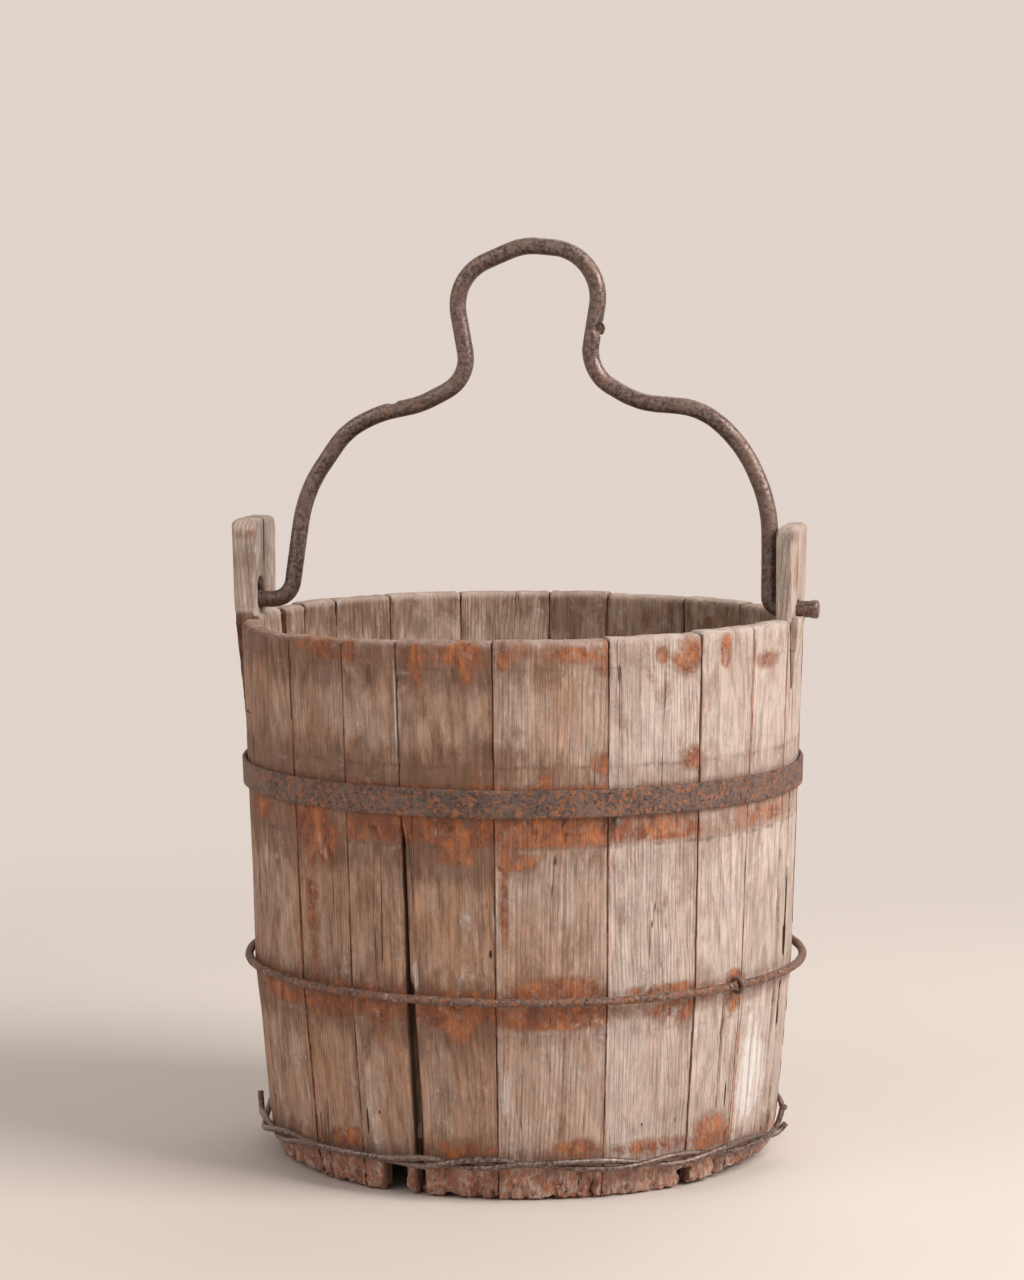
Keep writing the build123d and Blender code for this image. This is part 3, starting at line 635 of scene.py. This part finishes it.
def make_rusty_iron_group():
    """Colour, roughness and relief of old iron, browned, pitted and scaly."""
    inputs = [("Vector", "Vector")] + floats("Rust", "Grey", "Scale", "Polish")
    outputs = [("Color", "Color")] + floats("Roughness", "Relief")
    tree, start, end = new_group("rusty_iron", inputs, outputs)
    place = start.outputs["Vector"]
    broad = grain_noise(tree, place, (60, 60, 60), 5.0, 0.6, 0.3)
    grain = grain_noise(tree, place, (560, 560, 560), 5.0, 0.65)
    flakes = grain_noise(tree, place, (330, 330, 330), 6.0, 0.70, 0.4)
    color = mix(tree, ramp(tree, broad, 0.38, 0.64), IRON_DARK, IRON_BROWN)
    bare = product(tree, ramp(tree, grain, 0.40, 0.64), start.outputs["Grey"])
    color = mix(tree, bare, color, IRON_GREY)
    rusty = math(tree, "MULTIPLY_ADD", start.outputs["Rust"], 0.16, flakes)
    color = mix(tree, ramp(tree, rusty, 0.60, 0.74), color, IRON_RUST)
    scale = product(tree, ramp(tree, flakes, 0.46, 0.36), start.outputs["Scale"])
    color = mix(tree, scale, color, IRON_SCALE)
    pits = ramp(tree, grain, 0.44, 0.30)
    color = mix(tree, product(tree, pits, 0.62), color, JOINT_DARK)
    relief = math(tree, "MULTIPLY_ADD", grain, 0.8, product(tree, flakes, 0.6))
    relief = math(tree, "MULTIPLY_ADD", pits, -0.7, relief)
    put(tree, end.inputs["Color"], color)
    roughness = ramp(tree, grain, 0.3, 0.7, 0.50, 0.78)
    polish = product(tree, start.outputs["Polish"], ramp(tree, broad, 0.62, 0.42))
    roughness = math(tree, "MULTIPLY_ADD", polish, -0.32, roughness)
    put(tree, end.inputs["Roughness"], roughness)
    put(tree, end.inputs["Relief"], relief)
    return tree


def new_material(name):
    """Material with only its shader and its output."""
    material = bpy.data.materials.new(name)
    material.use_nodes = True
    tree = material.node_tree
    return material, tree, tree.nodes["Principled BSDF"]


def finish_material(tree, shader, effect, relief_depth, relief_share):
    """Feed a shader from a group's colour, roughness and relief."""
    put(tree, shader.inputs["Base Color"], effect["Color"])
    put(tree, shader.inputs["Roughness"], effect["Roughness"])
    inputs = {"Height": effect["Relief"], "Distance": relief_depth, "Strength": relief_share}
    put(tree, shader.inputs["Normal"], node(tree, "ShaderNodeBump", inputs).outputs["Normal"])


def turned_place(tree, angle):
    """Places before the staves leaned, turned so that this angle faces -Y."""
    source = node(tree, "ShaderNodeAttribute", attribute_name="upright_place")
    turned = node(tree, "ShaderNodeMapping", {"Vector": source.outputs["Vector"]})
    turned.inputs["Rotation"].default_value = (0.0, 0.0, radians(-angle))
    return turned.outputs[0]


def stains_and_highlights_of(number, start, end):
    """Stains and painted highlights on one stave: the seen ones in front, and likely stains behind."""
    found = [stain for stain in STAINS_AND_HIGHLIGHTS if start - 0.4 <= stain[1] <= end + 0.4]
    if -81 < start < 81:
        return found
    chance = Random(100 + number)
    for height, spread, low, high in ((280, 6, 3, 8), (193, 4, 4, 9), (97, 6, 4, 8), (30, 5, 3, 7)):
        for _ in range(2):
            kind = chance.choice(("rust", "rust", "smudge"))
            angle = chance.uniform(start, end)
            half = chance.uniform(1.2, 4.5)
            at = height + chance.uniform(-spread, spread)
            half_height = chance.uniform(low, high)
            found.append((kind, angle, at, half, half_height, chance.uniform(0.4, 0.95)))
    return found


def make_stave_material(name, number, groups):
    """Weathered wood of one stave."""
    start, end, pale, grime, band_rust, wire_rust, foot_rust = STAVES[name]
    middle = (start + end) / 2
    chance = Random(number)
    material, tree, shader = new_material(f"{name}_wood")
    place = turned_place(tree, middle)
    spot = use_group(tree, groups["round_place"], {"Vector": place})
    amounts = {}
    for kind, angle, height, half_angle, half_height, strength in stains_and_highlights_of(number, start, end):
        inputs = {
            "Angle": spot["Angle"],
            "Height": spot["Height"],
            "At Angle": radians(angle - middle),
            "At Height": height / 1000,
            "Half Angle": radians(half_angle),
            "Half Height": half_height / 1000,
            "Strength": strength,
        }
        amount = use_group(tree, groups["stain"], inputs)["Amount"]
        amounts[kind] = math(tree, "ADD", amounts[kind], amount) if kind in amounts else amount
    flat_sawn = chance.random() < 0.5
    inputs = {
        "Vector": place,
        "Half Arc": radians(end - start) / 2,
        "Seed": 0.37 * number,
        "Heart Side": chance.uniform(-0.008, 0.008) if flat_sawn else chance.choice((-0.08, 0.08)),
        "Heart Depth": chance.uniform(0.030, 0.055),
        "Pale": pale,
        "Grime": grime,
        "Band Rust": band_rust,
        "Wire Rust": wire_rust,
        "Foot Rust": foot_rust,
    }
    for kind, amount in amounts.items():
        inputs[f"{kind.title()} Stain"] = amount
    effect = use_group(tree, groups["weathered_wood"], inputs)
    shader.inputs["Specular IOR Level"].default_value = 0.25
    finish_material(tree, shader, effect, 0.0011, 0.85)
    return material


def make_board_material(name, grain, seed, color_low, color_high):
    """Plain boards whose fibres run front to back."""
    material, tree, shader = new_material(name)
    source = node(tree, "ShaderNodeTexCoord")
    turned = node(tree, "ShaderNodeMapping", {"Vector": source.outputs["Object"]})
    turned.inputs["Rotation"].default_value = (radians(90), 0.0, 0.0)
    inputs = {"Place": turned.outputs[0], "Seed": seed, "Heart Side": 0.01, "Heart Depth": 0.05}
    wood = use_group(tree, grain, inputs)
    color = mix(tree, ramp(tree, wood["Patch"], 0.35, 0.65), color_low, color_high)
    color = mix(tree, product(tree, ramp(tree, wood["Fibre"], 0.55, 0.38), 0.5), color, DARK_WOOD)
    color = mix(tree, product(tree, wood["Rings"], 0.30), color, TAN_WOOD, "MULTIPLY")
    color = mix(tree, wood["Split"], color, JOINT_DARK)
    put(tree, shader.inputs["Base Color"], color)
    put(tree, shader.inputs["Roughness"], ramp(tree, wood["Fibre"], 0.3, 0.7, 0.92, 0.76))
    bump = node(tree, "ShaderNodeBump", {"Height": wood["Fibre"], "Distance": 0.0008, "Strength": 0.7})
    put(tree, shader.inputs["Normal"], bump.outputs["Normal"])
    return material


def make_iron_material(name, iron, looks, relief_depth, relief_share, metallic=0.25):
    """Old iron with these shares of loose rust, bare grey, pale scale and polish."""
    material, tree, shader = new_material(name)
    source = node(tree, "ShaderNodeTexCoord")
    inputs = {"Vector": source.outputs["Object"]}
    inputs.update(zip(("Rust", "Grey", "Scale", "Polish"), looks))
    shader.inputs["Metallic"].default_value = metallic
    finish_material(tree, shader, use_group(tree, iron, inputs), relief_depth, relief_share)
    return material


# Worn copies of the pieces that show most
def worn_copy(name, voxel):
    """Copy of a node as one even skin, ready to be worn."""
    source = frame["nodes"][name]
    piece = source.copy()
    piece.data = source.data.copy()
    piece.name = f"{name}_worn"
    piece.parent = None
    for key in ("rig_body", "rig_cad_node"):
        if key in piece:
            del piece[key]
    bpy.context.scene.collection.objects.link(piece)
    take(piece)
    bpy.ops.object.mode_set(mode="EDIT")
    bpy.ops.mesh.select_all(action="SELECT")
    bpy.ops.mesh.remove_doubles(threshold=0.00001)
    bpy.ops.object.mode_set(mode="OBJECT")
    add_modifier(piece, "REMESH", "even_skin", mode="VOXEL", voxel_size=voxel)
    return piece


def settle(piece, original, material, body):
    """Smooth a finished piece, give it its material, and put it in its node's place."""
    take(piece)
    bpy.ops.object.shade_smooth_by_angle(angle=radians(50))
    piece.data.materials.clear()
    piece.data.materials.append(material)
    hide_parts(original)
    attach(piece, body)


def fade(value, near, far):
    """1 up to near, falling to 0 at far."""
    return max(0.0, min(1.0, (far - value) / (far - near)))


def uneven(place, size, seed, octaves=3):
    """Rough value, mostly from -1 to 1, that changes over about this size."""
    spot = Vector([along / step for along, step in zip(place, size)])
    return noise.fractal(spot + Vector((seed, 0.0, seed)), 0.7, 2.1, octaves)


def wall_radius(height):
    """Outside radius of the staves at a height."""
    if height < WAIST_HEIGHT:
        return FOOT_RADIUS + (WAIST_RADIUS - FOOT_RADIUS) * height / WAIST_HEIGHT
    share = (height - WAIST_HEIGHT) / (RIM_HEIGHT - WAIST_HEIGHT)
    return WAIST_RADIUS + (RIM_RADIUS - WAIST_RADIUS) * share


def outward(angle):
    """Direction away from the bucket's middle at an angle in degrees."""
    return Vector((sin(radians(angle)), -cos(radians(angle)), 0.0))


def sideways(angle):
    """Direction round the bucket at an angle in degrees."""
    return Vector((cos(radians(angle)), sin(radians(angle)), 0.0))


def angle_from(point, middle):
    """Angle of a point from the middle of its stave, in degrees."""
    angle = degrees(atan2(point.x, -point.y))
    return (angle - middle + 180.0) % 360.0 - 180.0


def split_push(splits, angle, height, radius):
    """How far the splits of a stave push its face in at a place."""
    push = 0.0
    for run, half_width, depth in splits:
        heights = [point[1] / 1000 for point in run]
        low, high = min(heights), max(heights)
        ends = min(fade(low - height, -0.002, 0.001), fade(height - high, -0.010, 0.001))
        for (first_angle, first), (last_angle, last) in zip(run, run[1:]):
            share = (height * 1000 - first) / (last - first)
            if not -0.02 < share < 1.02:
                continue
            across = abs(radians(angle - first_angle - (last_angle - first_angle) * share)) * radius
            push = max(push, depth / 1000 * ends * fade(across, 0.0, half_width / 1000) ** 0.8)
    return push


def ear_lean(name, height):
    """How far the left ear leans out at a height."""
    if name != "ear_stave_left" or height < EAR_LEAN_START:
        return 0.0
    share = (height - EAR_LEAN_START) / (RIM_HEIGHT - EAR_LEAN_START)
    return LEFT_EAR_PROUD * min(1.0, share)


def wear_stave(piece, name, number):
    """Weather the outside of a stave, round its top and tear its foot."""
    start, end = STAVES[name][:2]
    middle = (start + end) / 2
    half = (end - start) / 2
    seed = 3.7 * number
    is_ear = name.startswith("ear")
    spots = [vertex.co for vertex in piece.data.vertices]
    top = max(spot.z for spot in spots)
    foot = min(spot.z for spot in spots)
    splits = [split[1:] for split in SPLITS if split[0] == name]
    inset = Random(50 + number).uniform(0.0, 0.0005)
    for spot in spots:
        radius = hypot(spot.x, spot.y)
        angle = angle_from(spot, middle)
        height = spot.z
        depth = wall_radius(height) + ear_lean(name, height) - radius
        place = (radians(angle) * RIM_RADIUS, depth, height)
        from_edge = radians(half - abs(angle)) * radius
        direction = outward(angle + middle)

        # Corners that the even skin cut off
        corner = min(depth, from_edge - JOINT_HALF_GAP)
        if 0.0 < corner < CORNER_REACH and height < RIM_HEIGHT - 0.005:
            side = 1.0 if angle > 0 else -1.0
            spot += (direction + sideways(angle + middle) * side) * corner
            depth -= corner
            from_edge -= corner
        outer = fade(depth, 0.0015, 0.0060)
        inner = fade(STAVE_THICKNESS - depth, 0.0015, 0.0060)
        away = 1.0 - fade(from_edge, 0.0006, 0.0030)
        above_rim = is_ear and height > RIM_HEIGHT + 0.001

        # Hollows and ridges along the fibres
        inward = 0.00045 + 0.00045 * uneven(place, (0.007, 1.0, 0.060), seed)
        inward += 0.00030 * uneven(place, (0.022, 1.0, 0.050), seed + 5.0, 2)
        inward = max(0.0, inward) * away * outer * (0.0 if above_rim else 1.0)
        inward += inset * outer * (0.0 if above_rim else 1.0)
        outwardly = max(0.0, 0.0003 + 0.0005 * uneven(place, (0.008, 1.0, 0.05), seed + 9.0))
        outwardly *= away * inner * (0.0 if above_rim else 1.0)

        # Torn foot
        low = fade(height - foot, 0.008, 0.019)
        torn = max(0.0, uneven(place, (0.0075, 0.006, 0.0095), seed + 2.0, 4))
        crumbs = max(0.0, uneven(place, (0.0026, 0.0026, 0.0040), seed + 3.0, 2))
        inward += outer * low * (0.0004 + 0.0036 * torn + 0.0018 * crumbs)
        inward += outer * fade(height - foot, 0.0, 0.005) * 0.0012
        broad = uneven((place[0], 0.0, 0.0), (0.030, 1.0, 1.0), seed + 4.0, 2)
        teeth = uneven((place[0], depth, 0.0), (0.0110, 0.012, 1.0), seed + 8.0, 5)
        lift = max(0.0, -0.0004 + 0.0042 * broad + 0.0046 * teeth)
        lift *= fade(height - foot, 0.0, 0.018)

        # Worn top
        high = fade(top - height, 0.0, 0.007)
        dip = 0.0003 + 0.0009 * max(0.0, uneven(place, (0.017, 0.03, 1.0), seed + 6.0, 3))
        rounding = fade(top - height, 0.0, 0.0022) * 0.0007
        inward += rounding * outer
        outwardly += rounding * inner

        # Splits
        if splits:
            push = split_push(splits, angle + middle, height, radius)
            inward += push * max(0.0, 1.0 - depth / STAVE_THICKNESS)
        moved = spot + direction * (outwardly - inward)
        moved.z = max(0.0, height + lift - dip * high)
        spot.xyz = moved


def between(value, steps):
    """Value read off a short list of steps, straight between them."""
    for (first, first_value), (last, last_value) in zip(steps, steps[1:]):
        if first <= value <= last:
            return first_value + (last_value - first_value) * (value - first) / (last - first)
    return 0.0


def lean_staves(piece):
    """Keep each point's upright place for the material, then lean it with its joints."""
    mesh = piece.data
    upright = mesh.attributes.new("upright_place", "FLOAT_VECTOR", "POINT")
    upright.data.foreach_set("vector", [part for vertex in mesh.vertices for part in vertex.co])
    for vertex in mesh.vertices:
        spot = vertex.co
        turn = between(angle_from(spot, 0.0), JOINT_LEANS) * fade(spot.z, 0.040, RIM_HEIGHT)
        spot.xy = (Matrix.Rotation(radians(turn), 2) @ spot.xy) if turn else spot.xy


def draw_back(piece, joint, side, widths):
    """Draw a stave's edge back from an open joint."""
    for vertex in piece.data.vertices:
        near = fade(abs(angle_from(vertex.co, joint)), 0.0, 4.0)
        width = between(vertex.co.z * 1000, widths) / 1000
        vertex.co += sideways(joint) * side * near * width


def make_staves(groups):
    """Every stave and ear, worn at the rim and torn at the foot."""
    for number, name in enumerate(STAVES):
        seen = -81 < STAVES[name][0] < 81 or name.startswith("ear")
        piece = worn_copy(name, 0.00125 if seen else 0.0017)
        wear_stave(piece, name, number)
        for left, right, joint, widths in OPEN_JOINTS:
            if name in (left, right):
                draw_back(piece, joint, -1.0 if name == left else 1.0, widths)
        lean_staves(piece)
        settle(piece, name, make_stave_material(name, number, groups), BUCKET)


# Iron
def pit(piece, pit_depth, swell_depth, size=0.004):
    """Pit a piece of iron all over, only inwards."""
    normals = [vertex.normal.copy() for vertex in piece.data.vertices]
    for vertex, normal in zip(piece.data.vertices, normals):
        fine = max(0.0, uneven(vertex.co, (size, size, size), 1.0, 4))
        slow = 0.5 + 0.5 * uneven(vertex.co, (0.02, 0.02, 0.02), 7.0, 2)
        vertex.co -= normal * (pit_depth * fine + swell_depth * max(0.0, slow))


def nick(piece, place, size, depth):
    """Chip in the bail, at a place across and up."""
    for vertex in piece.data.vertices:
        away = hypot(vertex.co.x - place[0], vertex.co.z - place[1])
        if away < size:
            vertex.co -= vertex.normal * depth * fade(away, size * 0.3, size)


def make_iron_pieces(iron):
    """Band, middle wire and bail, pitted with rust."""
    band = worn_copy("iron_band", 0.0010)
    pit(band, 0.00040, 0.0002, 0.003)
    material = make_iron_material("band_iron", iron, (0.75, 0.25, 0.0, 0.0), 0.0007, 1.0)
    settle(band, "iron_band", material, BUCKET)

    wire = worn_copy("mid_wire", 0.0008)
    pit(wire, 0.00070, 0.0004, 0.0026)
    material = make_iron_material("mid_wire_iron", iron, (0.80, 0.30, 0.85, 0.0), 0.0008, 1.0)
    settle(wire, "mid_wire", material, BUCKET)

    bail = worn_copy("bail", 0.0011)
    pit(bail, 0.00012, 0.00012, 0.0035)
    add_modifier(bail, "SMOOTH", "even_out", factor=0.5, iterations=6)
    nick(bail, (0.0460, 0.4470), 0.0045, 0.0022)
    nick(bail, (-0.0700, 0.4070), 0.0030, 0.0012)
    material = make_iron_material("bail_iron", iron, (0.22, 0.75, 0.0, 1.0), 0.0003, 0.45, 0.55)
    settle(bail, "bail", material, HANDLE)

    small = make_iron_material("small_iron", iron, (0.45, 0.45, 0.15, 0.3), 0.0004, 0.70)
    for name in ("band_rivets", "band_nail", "mid_wire_tie"):
        finish_node(name, small)


def wire_turn(angle):
    """How far the low wires have turned round each other at an angle."""
    first_angle = WIRE_TURNS[0][0]
    if angle < first_angle:
        return pi * (angle - first_angle) / 15.0
    for (first, first_turn), (last, last_turn) in zip(WIRE_TURNS, WIRE_TURNS[1:]):
        if angle <= last:
            share = (angle - first) / (last - first)
            return pi * (first_turn + (last_turn - first_turn) * share)
    return pi * WIRE_TURNS[-1][1]


def low_wire_points(first, last, side, ends):
    """Middle of one low wire, with its two ends bent out."""
    steps = round(abs(last - first) / 2)
    points = []
    for step in range(steps + 1):
        angle = first + (last - first) * step / steps
        turn = wire_turn(angle)
        height = LOW_WIRE_HEIGHT - 0.0045 * sin(radians(angle)) ** 2
        height += 0.0007 * sin(radians(angle * 7)) + side * LOW_WIRE_RADIUS * 1.40 * sin(turn)
        ring = wall_radius(height) + 0.0003 + 2 * LOW_WIRE_RADIUS
        ring += side * LOW_WIRE_RADIUS * 1.02 * cos(turn)
        points.append(outward(angle) * ring + Vector((0.0, 0.0, height)))
    for place, angle, before, reach in (
        (0, first, points[1], ends[0]),
        (len(points), last, points[-2], ends[1]),
    ):
        end = points[0] if place == 0 else points[-1]
        along = (end - before).normalized()
        out, up, further = reach
        stub = []
        for share in (0.35, 0.7, 1.0):
            rise = Vector((0.0, 0.0, up * share ** 1.6))
            stub.append(end + along * further * share + outward(angle) * out * share + rise)
        points = stub[::-1] + points if place == 0 else points + stub
    return points


def make_wire(name, points, radius):
    """Round wire through points."""
    line = bpy.data.curves.new(name, "CURVE")
    line.dimensions = "3D"
    line.bevel_depth = radius
    line.bevel_resolution = 4
    line.use_fill_caps = True
    run = line.splines.new("NURBS")
    run.order_u = 4
    run.use_endpoint_u = True
    run.resolution_u = 3
    run.points.add(len(points) - 1)
    for spot, point in zip(run.points, points):
        spot.co = (*point, 1.0)
    piece = bpy.data.objects.new(name, line)
    bpy.context.scene.collection.objects.link(piece)
    take(piece)
    bpy.ops.object.convert(target="MESH")
    return bpy.context.object


def make_low_wires(iron):
    """Two thin wires twisted round each other near the foot."""
    material = make_iron_material("low_wire_iron", iron, (0.12, 0.90, 0.05, 1.0), 0.0002, 0.40, 0.65)

    # Each end's bend: outward, upward and further along
    long_ends = ((0.003, 0.010, 0.005), (0.001, 0.001, 0.004))
    long_points = low_wire_points(84, -252, 1.0, long_ends)
    long_wire = make_wire("low_wire_long_bent", long_points, LOW_WIRE_RADIUS)
    settle(long_wire, "low_wire_long", material, BUCKET)
    short_ends = ((0.005, 0.006, 0.007), (0.001, 0.010, 0.002))
    short_points = low_wire_points(84, -79, -1.0, short_ends)
    short_wire = make_wire("low_wire_short_bent", short_points, LOW_WIRE_RADIUS)
    settle(short_wire, "low_wire_short", material, BUCKET)


def make_splinter(material):
    """Long splinter that has come away from the outside of the right ear."""
    thickness, width, length = 0.0042, 0.0130, 0.038
    splinter_angle = 84.0
    splinter_top = 0.295
    deselect_all()
    middle = outward(splinter_angle) * (RIM_RADIUS + thickness / 2 - 0.0004)
    bpy.ops.mesh.primitive_cube_add(size=1.0, location=(0, 0, 0))
    piece = bpy.context.object
    piece.name = "ear_splinter"
    bpy.ops.object.mode_set(mode="EDIT")
    bpy.ops.mesh.select_all(action="SELECT")
    bpy.ops.transform.resize(value=(width, thickness, length))
    bpy.ops.mesh.subdivide(number_cuts=9)
    bpy.ops.object.mode_set(mode="OBJECT")
    top = middle + Vector((0.0, 0.0, splinter_top - length / 2))
    for vertex in piece.data.vertices:
        across, out, up = vertex.co
        share = 0.5 - up / length
        narrow = 1.0 - 0.72 * share
        rough = 0.0006 * uneven((across, out, up), (0.003, 0.003, 0.012), 2.0)
        out = (out + thickness / 2) * (1.0 - 0.85 * share) - thickness / 2 + rough
        lean = wall_radius(top.z + up) - RIM_RADIUS
        place = top + sideways(splinter_angle) * across * narrow
        vertex.co = place + outward(splinter_angle) * (out + lean) + Vector((0.0, 0.0, up))
    lean_staves(piece)
    piece.data.materials.append(material)
    take(piece)
    bpy.ops.object.shade_smooth_by_angle(angle=radians(40))
    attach(piece, BUCKET)


def finish_node(name, material):
    """Give a node of the frame its material."""
    piece = frame["nodes"][name]
    for place in piece.material_slots:
        place.material = material
    take(piece)
    bpy.ops.object.shade_smooth_by_angle(angle=radians(35))


def make_bottom(grain):
    """Materials of the bottom boards and their dowels."""
    for number in range(1, 4):
        board = make_board_material(f"bottom_{number}", grain, 1.7 * number, GREY_WOOD, INNER_WOOD)
        finish_node(f"bottom_board_{number}", board)
    finish_node("bottom_dowels", make_board_material("dowel", grain, 9.1, TAN_WOOD, PALE_WOOD))


# Floor, light and camera
FLOOR_COLOR = (0.720, 0.640, 0.585, 1.0)
BACKGROUND_COLOR = (0.755, 0.655, 0.597, 1.0)


def make_stage():
    """Plain pale floor that runs into a plain pale background."""
    deselect_all()
    bpy.ops.mesh.primitive_circle_add(vertices=96, radius=9.0, fill_type="NGON", location=(0, 0, 0))
    floor = bpy.context.object
    floor.name = "floor"
    material, tree, shader = new_material("pale_floor")
    shader.inputs["Base Color"].default_value = FLOOR_COLOR
    shader.inputs["Roughness"].default_value = 0.75
    source = node(tree, "ShaderNodeTexCoord")
    away = node(tree, "ShaderNodeVectorMath", {0: source.outputs["Object"]}, operation="LENGTH")
    far = ramp(tree, away.outputs["Value"], 0.45, 1.15)
    path = node(tree, "ShaderNodeLightPath")
    seen = most(tree, path.outputs["Is Camera Ray"], path.outputs["Is Glossy Ray"])
    glow = node(tree, "ShaderNodeEmission", {"Color": BACKGROUND_COLOR, "Strength": 1.0})
    pale = product(tree, far, seen)
    both = node(tree, "ShaderNodeMixShader", {0: pale, 1: shader.outputs[0], 2: glow.outputs[0]})
    tree.links.new(both.outputs[0], tree.nodes["Material Output"].inputs["Surface"])
    floor.data.materials.append(material)
    world = bpy.data.worlds.new("studio")
    bpy.context.scene.world = world
    world.use_nodes = True
    tree = world.node_tree
    tree.nodes.clear()
    path = node(tree, "ShaderNodeLightPath")
    seen = most(tree, path.outputs["Is Camera Ray"], path.outputs["Is Glossy Ray"])
    light = node(tree, "ShaderNodeBackground", {"Color": (1.0, 0.97, 0.94, 1.0), "Strength": 0.36})
    shown = node(tree, "ShaderNodeBackground", {"Color": BACKGROUND_COLOR, "Strength": 1.0})
    both = node(tree, "ShaderNodeMixShader", {0: seen, 1: light.outputs[0], 2: shown.outputs[0]})
    out = node(tree, "ShaderNodeOutputWorld")
    tree.links.new(both.outputs[0], out.inputs["Surface"])


def add_softbox(name, azimuth, elevation, distance, size, power):
    """Square lamp that faces the bucket; azimuth is round from the front towards +X."""
    turn, lift = radians(azimuth), radians(elevation)
    place = Vector((sin(turn) * cos(lift), -cos(turn) * cos(lift), sin(lift))) * distance
    lamp = bpy.data.lights.new(name, "AREA")
    lamp.shape = "SQUARE"
    lamp.size = size
    lamp.energy = power
    lamp.color = (1.0, 0.975, 0.95)
    box = bpy.data.objects.new(name, lamp)
    box.location = place + Vector((0.0, 0.0, 0.2))
    box.rotation_euler = (-place).to_track_quat("-Z", "Y").to_euler()
    bpy.context.scene.collection.objects.link(box)


def make_camera():
    """Camera that sees the bucket as the photograph does."""
    turn = radians(CAMERA_TURN)
    camera = bpy.data.cameras.new("photo_camera")
    camera.sensor_width = SENSOR_WIDTH
    camera.lens = FOCAL_PIXELS / PHOTO_HEIGHT * SENSOR_WIDTH
    camera.clip_end = 50.0
    holder = bpy.data.objects.new("photo_camera", camera)
    place = outward(CAMERA_TURN) * CAMERA_DISTANCE + sideways(CAMERA_TURN) * CAMERA_SIDE
    holder.location = place + Vector((0.0, 0.0, CAMERA_HEIGHT))
    look = Matrix.Rotation(turn, 4, "Z") @ Matrix.Rotation(radians(90 - CAMERA_DOWN), 4, "X")
    look = look @ Matrix.Rotation(radians(CAMERA_ROLL), 4, "Z")
    holder.rotation_euler = look.to_euler()
    bpy.context.scene.collection.objects.link(holder)
    bpy.context.scene.camera = holder


make_camera()
make_stage()
add_softbox("key", 77, 36, 2.6, 1.5, 72)
add_softbox("fill", -50, 30, 3.0, 2.0, 20)
add_softbox("back", 175, 50, 2.8, 1.6, 14)
bpy.context.scene.view_settings.view_transform = "Standard"

groups = {"round_place": make_round_place_group(), "stain": make_stain_group()}
groups["grain"] = make_grain_group()
groups["rust_reach"] = make_rust_reach_group()
groups["weathered_wood"] = make_weathered_wood_group(
    groups["round_place"], groups["grain"], groups["rust_reach"]
)
iron = make_rusty_iron_group()
make_staves(groups)
make_iron_pieces(iron)
make_low_wires(iron)
make_bottom(groups["grain"])
make_splinter(bpy.data.materials["ear_stave_right_wood"])
